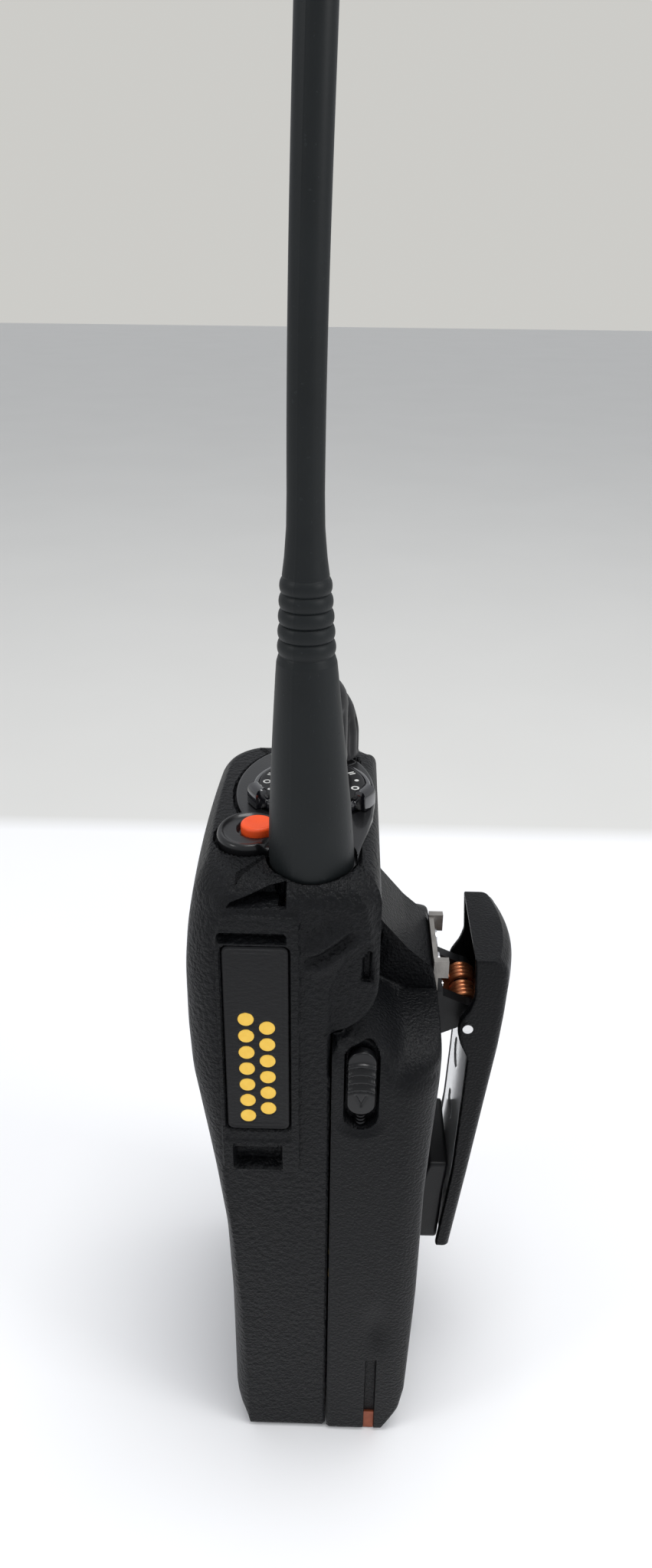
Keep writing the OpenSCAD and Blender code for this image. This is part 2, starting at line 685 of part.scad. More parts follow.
// Plan of the lever, with its bowed outer face
lever_plan = [[-12.2, 10], [12.2, 10], [12.2, 31.3], [11.9, 32], [11, 32.5], [8, 33.1], [4, 33.7], [0, 33.9],
    [-4, 33.7], [-8, 33.1], [-11, 32.5], [-11.9, 32], [-12.2, 31.3]];

module clip_lever() {
    color([0.05, 0.05, 0.055]) difference() {
        intersection() {
            union() {
                along_x(concat(lever_outer(0), web_inner), clip_w - 1);
                both_sides() translate([clip_w / 2 - 0.9, 0, 0])
                    along_x(concat(lever_outer(0.2), flange_edge), 1.8);
            }
            along_z(lever_plan, 30, 117);
        }
        bar_x([-20, clip_axis[0], clip_axis[1]], clip_pin_r + run_gap, 40);
    }
}

// Front face of the inner plate, from its lower end up
plate_face = [[23.7, 52.2], [24.4, 61.3], [24.9, 75.5], [25.3, 90], [26, 93.4]];

module clip_plate() {
    color([0.85, 0.86, 0.88]) difference() {
        along_x(concat(plate_face, [for (i = [4 : -1 : 0]) plate_face[i] + [0.4, 0]]), clip_w - 4.4);
        for (z = [67.5, 81.5]) bar_y([0, 20, z], 3, 8);
    }
}

module clip_tip() {
    color([0.03, 0.03, 0.03]) along_x(
        [[17.9, 38], [22.8, 38], [23.4, 51.9], [24.1, 60], [19.8, 60], [18.1, 54.1]], clip_w - 4.4);
}

front_case();
top_panel();
channel_dial();
status_lens();
connector_plate();
contact_pads();
display_lens();
speaker_screen();
speaker_frame();
speaker_cone();
microphone();
rear_chassis();
case_gasket();
chassis_screws();
main_board();
control_board();
board_screws();
rf_shields();
board_connector();
display_module();
key_mat();
emergency_switch();
channel_switch();
volume_pot();
side_switches();
antenna_bush();
battery_terminals();
antenna_sheath();
antenna_core();
channel_knob();
volume_knob();
lever_ring();
emergency_button();
ptt_button();
upper_side_key();
lower_side_key();
left_front_key();
middle_front_key();
right_front_key();
navigation_key();
battery_case();
battery_cover();
battery_cells();
battery_board();
battery_contacts();
charging_contacts();
latch_right();
latch_left();
latch_springs();
clip_bracket();
bracket_screws();
clip_base();
clip_hinge_pin();
clip_spring();
clip_lever();
clip_plate();
clip_tip();
clip_rivets();
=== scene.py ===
"""A portable two way radio with its battery, belt clip and antenna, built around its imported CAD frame."""

import bmesh
import bpy
import numpy as np
from mathutils import Matrix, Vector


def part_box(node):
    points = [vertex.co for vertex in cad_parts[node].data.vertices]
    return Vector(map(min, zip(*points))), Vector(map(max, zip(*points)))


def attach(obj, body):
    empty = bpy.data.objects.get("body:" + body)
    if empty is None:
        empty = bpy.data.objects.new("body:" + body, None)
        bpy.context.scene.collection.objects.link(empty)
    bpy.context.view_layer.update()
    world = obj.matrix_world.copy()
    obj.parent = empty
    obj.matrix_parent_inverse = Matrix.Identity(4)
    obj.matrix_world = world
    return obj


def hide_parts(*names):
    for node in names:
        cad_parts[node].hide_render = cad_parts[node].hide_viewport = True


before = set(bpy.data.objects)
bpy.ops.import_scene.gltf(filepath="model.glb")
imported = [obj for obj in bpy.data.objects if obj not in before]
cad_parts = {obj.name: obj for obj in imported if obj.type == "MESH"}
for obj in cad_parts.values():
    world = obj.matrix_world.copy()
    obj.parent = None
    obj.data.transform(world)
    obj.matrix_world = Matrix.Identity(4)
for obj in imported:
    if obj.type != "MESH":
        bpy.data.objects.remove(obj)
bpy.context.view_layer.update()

# ------------------------------------------------------------------ the camera
# A wide lens held close to the radio, at its connector side and above it, looking down.
# Directions are worked out from how far it is pitched down, turned and tilted.
lens_at = (0.1742, 0.0006, 0.2303)
pitch, turn, tilt = np.radians([26.48, 1.11, 0.65])
look = np.array([-np.cos(turn) * np.cos(pitch), -np.sin(turn) * np.cos(pitch), -np.sin(pitch)])
level = np.array([-np.sin(turn), np.cos(turn), 0])
rise = np.cross(level, look)
across = np.cos(tilt) * level + np.sin(tilt) * rise
upward = np.cos(tilt) * rise - np.sin(tilt) * level
camera = bpy.data.objects.new("camera", bpy.data.cameras.new("camera"))
camera.data.lens = 24.34
camera.data.sensor_width = 36
camera.data.clip_start = 0.01
camera.data.clip_end = 20
camera.matrix_world = Matrix.Translation(lens_at) @ Matrix(np.column_stack([across, upward, -look])).to_4x4()
bpy.context.scene.collection.objects.link(camera)
bpy.context.scene.camera = camera
bpy.context.scene.view_settings.view_transform = "Standard"

# ------------------------------------------------------------- floor and light
# A pale matte floor under soft studio light: a bright room, one wide panel overhead,
# one in front of the radio and a smaller one low behind it.


class Field:
    """One output of a node. Python sums on it add Math nodes, and node() adds any other kind."""

    def __init__(self, tree, socket):
        self.tree, self.socket = tree, socket

    def node(self, kind, settings, inputs, out=0):
        """Adds a node: its settings are set first, then each input gets a link or a plain value."""
        made = self.tree.nodes.new("ShaderNode" + kind)
        for key, value in settings.items():
            setattr(made, key, value)
        for key, value in inputs.items():
            if isinstance(value, Field):
                self.tree.links.new(value.socket, made.inputs[key])
            else:
                made.inputs[key].default_value = value
        return Field(self.tree, made.outputs[out])

    def maths(self, operation, *values, clamp=False):
        return self.node("Math", {"operation": operation, "use_clamp": clamp}, dict(enumerate(values)))

    def __add__(self, other):
        return self.maths("ADD", self, other)

    def __radd__(self, other):
        return self.maths("ADD", other, self)

    def __sub__(self, other):
        return self.maths("SUBTRACT", self, other)

    def __rsub__(self, other):
        return self.maths("SUBTRACT", other, self)

    def __mul__(self, other):
        return self.maths("MULTIPLY", self, other)

    def __rmul__(self, other):
        return self.maths("MULTIPLY", other, self)

    def between(self, low, high):
        """0 where this is at or below low, 1 at or above high, straight between."""
        return self.node("MapRange", {"clamp": True}, {0: self, 1: low, 2: high})

    def blend(self, first, second):
        """The first colour where this is 0, the second where it is 1."""
        return self.node("Mix", {"data_type": "RGBA"}, {0: self, 6: (*first, 1), 7: (*second, 1)}, out=2)

    def noise(self, per_metre, detail=2, roughness=0.5):
        """Noise from 0 to 1 over this place, with so many waves in a metre."""
        wanted = {"Vector": self, "Scale": per_metre, "Detail": detail, "Roughness": roughness}
        return self.node("TexNoise", {}, wanted)

    def bump(self, depth, strength=1.0):
        """A normal that tips as this height does, where 1 stands depth metres high."""
        return self.node("Bump", {}, {"Height": self, "Strength": strength, "Distance": depth})


class Finish:
    """A new material: fixed values go straight onto its shader, and feed() links what changes over it."""

    def __init__(self, name, **fixed):
        self.material = bpy.data.materials.new(name)
        self.material.use_nodes = True
        tree = self.material.node_tree
        self.shader = tree.nodes["Principled BSDF"]
        for key, value in fixed.items():
            self.shader.inputs[key.replace("_", " ")].default_value = value
        self.place = Field(tree, tree.nodes.new("ShaderNodeTexCoord").outputs["Object"])

    def feed(self, **fields):
        for key, field in fields.items():
            field.tree.links.new(field.socket, self.shader.inputs[key.replace("_", " ")])
        return self


floor_finish = Finish("floor_paint", Roughness=0.55)
floor_back = floor_finish.place.node("SeparateXYZ", {}, {"Vector": floor_finish.place}).between(-0.25, -0.236)
floor_cloud = floor_finish.place.noise(9, 3)
floor_finish.feed(Base_Color=floor_back.node("Mix", {"data_type": "RGBA"}, {0: floor_back,
    6: floor_cloud.blend((0.66, 0.655, 0.63), (0.70, 0.695, 0.67)),
    7: floor_cloud.blend((0.87, 0.87, 0.88), (0.93, 0.93, 0.935))}, out=2))
floor_mesh = bpy.data.meshes.new("floor")
corners = [(-4, -4, 0), (4, -4, 0), (4, 4, 0), (-4, 4, 0)]
floor_mesh.from_pydata(corners, [], [(0, 1, 2, 3)])
floor_mesh.materials.append(floor_finish.material)
floor = bpy.data.objects.new("floor", floor_mesh)
bpy.context.scene.collection.objects.link(floor)

world = bpy.data.worlds.new("room")
bpy.context.scene.world = world
world.use_nodes = True
room = world.node_tree
wall_tint = room.nodes["Background"]
wall_tint.inputs["Color"].default_value = (0.94, 0.96, 1.0, 1)
wall_tint.inputs["Strength"].default_value = 0.66
backdrop = room.nodes.new("ShaderNodeBackground")
backdrop.inputs["Color"].default_value = (0.61, 0.605, 0.58, 1)
seen = room.nodes.new("ShaderNodeLightPath")
either = room.nodes.new("ShaderNodeMixShader")
room.links.new(seen.outputs["Is Camera Ray"], either.inputs["Fac"])
room.links.new(wall_tint.outputs["Background"], either.inputs[1])
room.links.new(backdrop.outputs["Background"], either.inputs[2])
room.links.new(either.outputs["Shader"], room.nodes["World Output"].inputs["Surface"])


def soft_panel(name, at, aim, size, watts):
    """A square light panel at a place, facing another, of that size in metres."""
    lamp = bpy.data.objects.new(name, bpy.data.lights.new(name, "AREA"))
    lamp.data.shape, lamp.data.size, lamp.data.energy = "SQUARE", size, watts
    away = Matrix.Translation(at).translation - Matrix.Translation(aim).translation
    lamp.matrix_world = Matrix.Translation(at) @ away.to_track_quat("Z", "Y").to_matrix().to_4x4()
    bpy.context.scene.collection.objects.link(lamp)


soft_panel("overhead_panel", (0.02, 0.10, 0.95), (0, 0, 0.12), 0.4, 4.2)
soft_panel("front_panel", (0.35, -0.75, 0.62), (0, 0, 0.12), 0.25, 1.3)
soft_panel("back_panel", (0.30, 0.7, 0.5), (0, 0, 0.12), 0.25, 1.6)

# -------------------------------------------------------------------- the case
# One injection-moulded shell of textured black plastic. It carries a raised frame for the connector,
# finger grooves, a sunken pocket beside the battery's latch, and openings for the keys and buttons.


def step(low, high, x):
    """0 below low, 1 above high, and a smooth S between them."""
    t = np.clip((np.asarray(x, float) - low) / (high - low), 0, 1)
    return t * t * (3 - 2 * t)


def hill(x, centre, width):
    """A bell curve of height 1."""
    return np.exp(-(((x - centre) / width) ** 2))


def from_box(u, v, low, high, r):
    """Signed distance to a round-cornered rectangle: below 0 inside it."""
    du = np.abs(u - (low[0] + high[0]) / 2) - (high[0] - low[0]) / 2 + r
    dv = np.abs(v - (low[1] + high[1]) / 2) - (high[1] - low[1]) / 2 + r
    return np.hypot(np.maximum(du, 0), np.maximum(dv, 0)) + np.minimum(np.maximum(du, dv), 0) - r


def from_shape(u, v, corners):
    """Signed distance to a polygon: how near its edge is, below 0 where the edges wind round the place."""
    nearest, inside = np.full(np.shape(u), 1e9), np.zeros(np.shape(u), bool)
    for (u0, v0), (u1, v1) in zip(corners, corners[1:] + corners[:1]):
        t = np.clip(((u - u0) * (u1 - u0) + (v - v0) * (v1 - v0)) / ((u1 - u0) ** 2 + (v1 - v0) ** 2), 0, 1)
        nearest = np.minimum(nearest, np.hypot(u - u0 - t * (u1 - u0), v - v0 - t * (v1 - v0)))
        if v0 != v1:
            inside ^= ((v0 > v) != (v1 > v)) & (u < (u1 - u0) * (v - v0) / (v1 - v0) + u0)
    return np.where(inside, -nearest, nearest)


def from_line(u, v, points):
    """Distance to a line through points, and how far along it the nearest place is, from 0 to 1."""
    nearest, along = np.full(np.shape(u), 1e9), np.zeros(np.shape(u))
    for i, ((u0, v0), (u1, v1)) in enumerate(zip(points[:-1], points[1:])):
        t = np.clip(((u - u0) * (u1 - u0) + (v - v0) * (v1 - v0)) / ((u1 - u0) ** 2 + (v1 - v0) ** 2), 0, 1)
        gap = np.hypot(u - u0 - t * (u1 - u0), v - v0 - t * (v1 - v0))
        along = np.where(gap < nearest, (i + t) / (len(points) - 1), along)
        nearest = np.minimum(gap, nearest)
    return nearest, along


def flowing(x, points, ease):
    """A line through (x, value) points, its corners eased over that distance by a mean of shifted copies."""
    xs, values = zip(*points)
    shifts = np.linspace(-ease, ease, 9)
    return sum(np.interp(x + s, xs, values) for s in shifts) / len(shifts)


def skin(name, rows, body, finish, replaced, crease=None):
    """A closed piece from a grid of points in millimetres, rows x columns x 3, whose columns wrap round.
    Rows that shrink to a line or a point close its ends."""
    count, around = rows.shape[:2]
    i, j = np.meshgrid(np.arange(count - 1), np.arange(around), indexing="ij")
    k = (j + 1) % around
    quads = np.stack([i * around + j, i * around + k, (i + 1) * around + k, (i + 1) * around + j], -1)
    mesh = bpy.data.meshes.new(name)
    mesh.from_pydata([], [], [])
    mesh.vertices.add(count * around)
    mesh.vertices.foreach_set("co", (rows * 0.001).ravel())
    mesh.loops.add(quads.size)
    mesh.loops.foreach_set("vertex_index", quads.ravel())
    mesh.polygons.add(quads.size // 4)
    mesh.polygons.foreach_set("loop_start", np.arange(0, quads.size, 4))
    mesh.update(calc_edges=True)
    return settle(mesh, name, body, finish, replaced, crease)


def settle(mesh, name, body, finish, replaced, crease=None):
    """Merges doubled points, turns the faces outwards, shades them smooth up to the crease angle in degrees,
    and puts the piece on its body."""
    work = bmesh.new()
    work.from_mesh(mesh)
    bmesh.ops.remove_doubles(work, verts=work.verts, dist=2e-6)
    bmesh.ops.recalc_face_normals(work, faces=work.faces)
    work.to_mesh(mesh)
    work.free()
    mesh.polygons.foreach_set("use_smooth", np.ones(len(mesh.polygons), bool))
    if crease:
        mesh.set_sharp_from_angle(angle=np.radians(crease))
    mesh.materials.append(finish.material)
    piece = bpy.data.objects.new(name, mesh)
    bpy.context.scene.collection.objects.link(piece)
    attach(piece, body)
    if replaced:
        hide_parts(*replaced)
    return piece


def grained(name, colour, pale, roughness, grain, depth):
    """Moulded black plastic: spark-eroded grain of that size and depth in metres, cloudy and dull in patches."""
    made = Finish(name, Specular_IOR_Level=0.13)
    cloud = made.place.noise(45, 3)
    pebbles = made.place.noise(0.55 / grain, 2, 0.55)
    fine = made.place.noise(1.7 / grain, 1, 0.5)
    height = pebbles.between(0.3, 0.72) + 0.35 * fine
    made.feed(
        Base_Color=(0.5 * cloud + 0.5 * pebbles.between(0.45, 0.8)).blend(colour, pale),
        Roughness=roughness + 0.16 * (cloud - 0.5) + 0.1 * (fine - 0.5),
        Normal=height.bump(depth),
    )
    return made


def box_mm(node):
    """A CAD node's box in millimetres: its low corner and its high corner."""
    return np.array(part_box(node)) * 1000


case_high = box_mm("front_case")[1]
half_width, case_top = case_high[0], case_high[2]
seam_case, seam_battery = -0.95, -0.6
antenna_at, channel_at, volume_at, orange_at = (
    box_mm(node).mean(0)[:2]
    for node in ("antenna_core", "channel_switch", "volume_pot", "emergency_button")
)
plate_low, plate_high = box_mm("connector_plate")[:, 1:]
ptt_low, ptt_high = box_mm("ptt_button")[:, 1:]
side_key_at = [box_mm(node).mean(0)[1:] for node in ("upper_side_key", "lower_side_key")]
front_keys = ("left_front_key", "middle_front_key", "right_front_key", "navigation_key")
front_key_box = [box_mm(node)[:, [0, 2]] for node in front_keys]
lens_low, lens_high = box_mm("display_lens")[:, [0, 2]]
speaker_z = box_mm("speaker_screen").mean(0)[2]
mic_x, mic_z = box_mm("microphone").mean(0)[[0, 2]]

front_line = [(0.4, -16.8), (3.2, -19.2), (8, -20.3), (40, -20.3), (60, -20.9), (74, -22.5), (89, -24.7),
    (98, -26), (108, -26.4), (120, -26.3), (129, -25.6), (135, -24.6), (139, -22.6)]
back_line = [(108.85, seam_case), (109.1, 0.6), (109.7, 2.2), (110.8, 3.8), (112.4, 5.2), (114.5, 6.3), (117, 7),
    (119.5, 7.2), (140, 7.2)]


def tab_distance(y, z):
    """Signed distance to the sunken pocket at the back edge, above the tab's round corner."""
    return from_shape(y, z, [(-0.7, 100), (-0.8, 117.6), (0.2, 121), (2, 124.4), (4.4, 127), (7.6, 129), (12, 129),
        (12, 100)])


def both_sides_relief(y, z):
    """Height of what both sides share: the pocket beside the latch and its small slot."""
    height = -1.25 * step(1.1, -0.3, tab_distance(y, z))
    height += -1.6 * step(0.12, -0.12, from_shape(y, z, [(4.2, 119.6), (4.3, 124), (5.8, 126.4), (5.9, 119.6)]))
    return height


def connector_relief(y, z):
    """Height of the connector side: frame with lugs, plate pocket, slots, wedge and finger grooves."""
    frame_shape = from_box(y, z, (-20.5, 79), (-6.4, 133.6), 1.4)
    front_foot = from_box(y, z, (-20.5, 77.4), (-18.4, 90), 0.9)
    feet = np.minimum(front_foot, from_box(y, z, (-9.8, 77.4), (-6.4, 90), 0.9))
    height = 0.5 * step(0.16, -0.12, np.minimum(frame_shape, feet))
    rail = from_box(y, z, (-19.75, 84.4), (-7.9, 131.2), 0.8)
    height -= 0.2 * step(0.15, -0.15, rail)
    pocket = from_box(y, z, plate_low - 0.16, plate_high + 0.16, 1.3)
    height -= 1.0 * step(0.1, -0.1, pocket)
    height -= 2.4 * step(0.1, -0.12, from_box(y, z, (-20.0, 128.25), (-8.6, 129.85), 0.3))
    notch = from_box(y, z, (-18.5, 77.2), (-9.7, 83.5), 0.35)
    height -= (0.95 + 1.7 * step(82.2, 81.5, z)) * step(0.14, -0.14, notch)
    wedge = from_shape(y, z, [(-18.2, 135), (-17.6, 135.7), (-11.3, 138.1), (-8.6, 138.5), (-8.7, 135)])
    height -= 4.6 * step(0.15, -0.15, wedge)
    for line, high in (([(-6.0, 125.2), (-2.5, 127.4), (0.4, 129.8), (3, 132)], 0.85),
                       ([(-5.6, 121.9), (-2, 123.9), (1, 126.6), (4.4, 130.2)], 0.75)):
        gap, along = from_line(y, z, line)
        height += high * hill(gap, 0, 1.15) * step(0, 0.25, along) * step(1, 0.7, along)
    gap, along = from_line(y, z, [(-6.0, 123.5), (-2.2, 125.6), (0.8, 128.2), (3.6, 131.2)])
    height -= 1.0 * hill(gap, 0, 0.9) * step(0, 0.2, along) * step(1, 0.75, along)
    gap, along = from_line(y, z, [(-6.2, 128.6), (-2.8, 130.4), (0.2, 132.6)])
    height -= 0.4 * hill(gap, 0, 1.0) * step(0, 0.2, along) * step(1, 0.7, along)
    return height + both_sides_relief(y, z)


def button_relief(y, z):
    """Height of the push-to-talk side: a raised land around sunken wells for the three buttons."""
    land = from_box(y, z, (ptt_low[0] - 2.2, 74), (ptt_high[0] + 2.2, 128.5), 3)
    height = 0.3 * step(0.5, -0.5, land)
    height -= 1.6 * step(0.15, -0.15, from_box(y, z, ptt_low - 0.35, ptt_high + 0.35, 2.3))
    for at in side_key_at:
        height -= 1.6 * step(0.15, -0.15, np.hypot(y - at[0], z - at[1]) - 3.75)
    return height + both_sides_relief(y, z)


def front_relief(x, z):
    """Height of the front: wells for the keys and the lens, eleven speaker slots in a dished round, a pinhole."""
    height = -0.55 * step(1.2, -0.9, np.hypot(x, z - speaker_z) - 17.5)
    row = np.round((z - speaker_z) / 2.6)
    slot_half = np.sqrt(np.maximum(15.2**2 - (2.6 * row) ** 2, 0))
    slot = np.maximum(np.abs(z - speaker_z - 2.6 * row) - 0.6, np.abs(x) - slot_half) + 9.0 * (np.abs(row) > 5)
    height -= 1.5 * step(0.14, -0.14, slot)
    for low, high in front_key_box:
        height -= 2.3 * step(0.16, -0.16, from_box(x, z, low - 0.35, high + 0.35, 1.9))
    lens_well = from_box(x, z, lens_low - 0.25, lens_high + 0.25, 1.2)
    height -= (1.0 + 0.85 * step(64, 80, z)) * step(0.14, -0.14, lens_well)
    height += 0.3 * step(0.5, -0.5, np.abs(from_box(x, z, (-21.6, 60.6), (21.6, 85.4), 3)) - 0.5)
    height -= 1.2 * step(0.15, -0.15, np.hypot(x - mic_x, z - mic_z) - 0.8)
    return height


def panel_distance(x, y):
    """Signed distance to the top panel's outline: an oval, the button's collar and a round for the antenna,
    run together with soft inner corners."""
    main = (np.hypot((x + 6.2) / 19.6, (y + 6.8) / 13.2) - 1) * 14.5
    collar = (np.hypot((x - 11.9) / 6.7, (y + 15.9) / 5.8) - 1) * 6.2
    socket = np.hypot(x - antenna_at[0], y - antenna_at[1]) - 7.3
    bridge = from_shape(x, y, [(-6, 6.2), (4.1, 6), (9.6, 5.1), (15.8, 3.8), (19.4, 3.1), (18, -11), (4, -14)])
    parts = (main, collar, socket, bridge)
    return -np.log(sum(np.exp(-part / 0.55) for part in parts)) * 0.55


def case_rows():
    """The case as one grid. Columns run round its plan, from the +X side's back edge over the front to the
    -X side and the back. Rows go up from the base, over the shoulder's round and in to a short line on the top."""
    side_to = np.concatenate([np.linspace(0, 1, 34)[:-1], 1 + np.linspace(0, 1, 42)[:-1],
        2 + np.linspace(0, 1, 15)])
    low_z = np.concatenate([0.4 + 1.1 * (1 - np.cos(np.linspace(0, np.pi / 2, 5))), np.linspace(3, 29, 12),
        np.linspace(30, 58, 66), np.linspace(59, 75, 22)])
    high_z = np.linspace(75.25, case_top - 4.4, 190)
    round_up = np.linspace(0, np.pi / 2, 43)[1:]
    z = np.concatenate([low_z, high_z, case_top - 4.4 + 4.4 * np.sin(round_up)])[:, None]
    inset = np.zeros_like(z)
    inset[-42:, 0] = 4.4 * (1 - np.cos(round_up))
    inset[:5, 0] = 1.1 * (1 - np.sin(np.linspace(0, np.pi / 2, 5)))
    front = flowing(z, front_line, 2.2) + 0.2 * inset
    back = np.where(z > 108.85, flowing(z, back_line, 0.2), seam_case) - 0.75 * inset
    edge_line = [(0, -17.2), (24, -17.3), (40, -18.1), (54, -18.8), (75, -20.6), (140, -20.7)]
    edge = flowing(z, edge_line, 5) + 0.5 * inset
    wide = half_width - 0.36 - inset
    corner = 5.2 + 3.4 * step(122, 139, z)
    edge = edge + 3.0 * step(126, 139, z)
    knee, fore = -7 + 0 * z, np.minimum(-17 + 0 * z, edge + 3.4)
    side = np.where(side_to < 1, back + (knee - back) * side_to, 0 * z)
    side = np.where((side_to >= 1) & (side_to < 2), knee + (fore - knee) * (side_to - 1), side)
    side = np.where(side_to >= 2, fore + (edge - fore) * (side_to - 2), side)
    bend = np.linspace(0, np.pi / 2, 15)[1:-1]
    depth = edge - front
    bend_x = wide - corner * (1 - np.cos(bend)) ** 0.9
    bend_y = edge - depth * np.sin(bend) ** 1.15
    over = np.linspace(1, -1, 60)
    face_x = over * (wide - corner)
    sag = 0.5 * (1 - over**2)
    face_y = front - sag * step(0, 30, z)
    rim = np.linspace(0, 1, 12)[1:-1]
    shut_x = -wide + 2 * wide * rim
    x = np.hstack([wide + 0 * side, bend_x, face_x, -bend_x[:, ::-1], -wide + 0 * side[:, ::-1], shut_x])
    y = np.hstack([side, bend_y, face_y, bend_y[:, ::-1], side[:, ::-1], back + 0 * shut_x])
    z = z + 0 * x
    n_side, n_bend, n_face = side.shape[1], len(bend), len(over)
    right = slice(0, n_side)
    ahead = slice(n_side + n_bend, n_side + n_bend + n_face)
    left = slice(n_side + 2 * n_bend + n_face, 2 * n_side + 2 * n_bend + n_face)
    soft = step(0, 2.2, z[:, right] - 0.4)
    high = step(120, 139, z[:, :1])
    chamfer = (0.45 + 1.9 * high) * step(0, 1, 1 - (back - y[:, right]) / (0.55 + 2.8 * high))
    x[:, right] += connector_relief(y[:, right], z[:, right]) * soft - chamfer
    chamfer = (0.45 + 1.9 * high) * step(0, 1, 1 - (back - y[:, left]) / (0.55 + 2.8 * high))
    x[:, left] -= button_relief(y[:, left], z[:, left]) * soft - chamfer
    y[:, ahead] -= front_relief(x[:, ahead], z[:, ahead])
    z -= 4 * step(7.75, 7.4, np.hypot(x - antenna_at[0], y - antenna_at[1])) * step(133, 136, z)
    rim_loop = np.stack([x[-1], y[-1], 0 * z[-1] + case_top], -1)
    spine = np.stack([np.clip(rim_loop[:, 0], -13, 13), -8.5 + 0 * rim_loop[:, 1], 0 * rim_loop[:, 2]], -1)
    inward = np.linspace(0, 1, 62)[1:, None, None] ** 0.92
    top = rim_loop + (spine - rim_loop) * inward
    top[..., 2] = case_top + 0.25 * inward[..., 0]
    gap = panel_distance(top[..., 0], top[..., 1])
    top[..., 2] -= 0.9 * step(0.5, 0.25, gap)
    socket = np.hypot(top[..., 0] - antenna_at[0], top[..., 1] - antenna_at[1])
    top[..., 2] -= 4 * step(7.75, 7.4, socket)
    under = np.stack([x[0], y[0], z[0]], -1)
    spine = np.stack([np.clip(under[:, 0], -20, 20), -9 + 0 * under[:, 1], 0.4 + 0 * under[:, 2]], -1)
    base = spine + (under - spine) * np.linspace(0, 1, 12)[:-1, None, None]
    return np.concatenate([base, np.stack([x, y, z], -1), top])


case_finish = grained("case_grain", (0.0026, 0.0028, 0.0032), (0.0098, 0.0104, 0.0118), 0.42, 0.00046, 0.00022)
skin("radio_case", case_rows(), "radio", case_finish, ["front_case"], crease=48)

# --------------------------------------------------------------- the top panel
# A separate moulding of glossy black plastic let into the top of the case: flat round the controls,
# with a beaded collar round the emergency button. It snaps in, which leaves a thin dark joint.


def round_box(low, high, r, turns=9):
    """Outline of a rectangle with round corners, anticlockwise."""
    bend = np.linspace(0, np.pi / 2, turns)
    corners = [(high[0] - r, high[1] - r), (low[0] + r, high[1] - r), (low[0] + r, low[1] + r),
        (high[0] - r, low[1] + r)]
    parts = [np.stack([x + r * np.cos(bend + i * np.pi / 2), y + r * np.sin(bend + i * np.pi / 2)], -1)
        for i, (x, y) in enumerate(corners)]
    return even(np.concatenate(parts), 160)


def even(outline, count):
    """The same closed outline with points at even steps along it."""
    closed = np.vstack([outline, outline[:1]])
    far = np.concatenate([[0], np.cumsum(np.hypot(*np.diff(closed, axis=0).T))])
    at = np.linspace(0, far[-1], count, endpoint=False)
    return np.stack([np.interp(at, far, closed[:, 0]), np.interp(at, far, closed[:, 1])], -1)


def round_outline(centre, radius, count=72):
    """Outline of a circle, or of an ellipse where radius is a pair."""
    angle = np.linspace(0, 2 * np.pi, count, endpoint=False)
    across_r, along_r = np.broadcast_to(radius, 2)
    return np.stack([centre[0] + across_r * np.cos(angle), centre[1] + along_r * np.sin(angle)], -1)


def pull_in(outline, inset):
    """The outline moved inwards, square to itself."""
    ahead = np.roll(outline, -1, 0) - np.roll(outline, 1, 0)
    ahead /= np.hypot(*ahead.T)[:, None]
    return outline + inset * np.stack([-ahead[:, 1], ahead[:, 0]], -1)


def slab_rows(outline, rim, spine, relief=None, fill=24):
    """A slab as a grid: the rim's (inset, height) steps from its underside up, then rows in to the spine, where
    relief gives the height of each place of the face. The underside runs in to the spine too."""
    ends = np.array(spine, float)
    run = ends[1] - ends[0]

    def spread(loop, heights, steps):
        t = np.clip((loop - ends[0]) @ run / max(run @ run, 1e-9), 0, 1)[:, None]
        target = ends[0] + t * run
        flat = loop + (target - loop) * steps[:, None, None]
        return np.concatenate([flat, np.broadcast_to(heights, flat.shape[:2])[..., None]], -1)

    bottom = spread(pull_in(outline, rim[0][0]), rim[0][1], np.linspace(1, 0, 5)[:-1])
    wall = [np.column_stack([pull_in(outline, inset), np.full(len(outline), high)]) for inset, high in rim]
    top = spread(pull_in(outline, rim[-1][0]), rim[-1][1], np.linspace(0, 1, fill)[1:])
    rows = np.concatenate([bottom, wall, top])
    if relief:
        shown = step(rim[0][1], rim[-1][1], rows[5:, :, 2])
        rows[5:, :, 2] += relief(rows[5:, :, 0], rows[5:, :, 1]) * shown
    return rows


def to_right(rows):
    """(y, z, x) rows put on the +X side."""
    return rows[..., [2, 0, 1]]


def to_left(rows):
    """(y, z, -x) rows put on the -X side."""
    return rows[..., [2, 0, 1]] * (-1, 1, 1)


def to_front(rows):
    """(x, z, -y) rows put on the front."""
    return rows[..., [0, 2, 1]] * (1, -1, 1)


def panel_outline(clear):
    """Where the panel's signed distance is that value, found along rays from its middle by halving."""
    angle = np.linspace(0, 2 * np.pi, 420, endpoint=False)
    near, far = np.zeros(420), np.full(420, 40.0)
    for _ in range(28):
        middle = (near + far) / 2
        outside = panel_distance(3 + middle * np.cos(angle), -7.5 + middle * np.sin(angle)) > clear
        near, far = np.where(outside, near, middle), np.where(outside, middle, far)
    return even(np.stack([3 + near * np.cos(angle), -7.5 + near * np.sin(angle)], -1), 420)


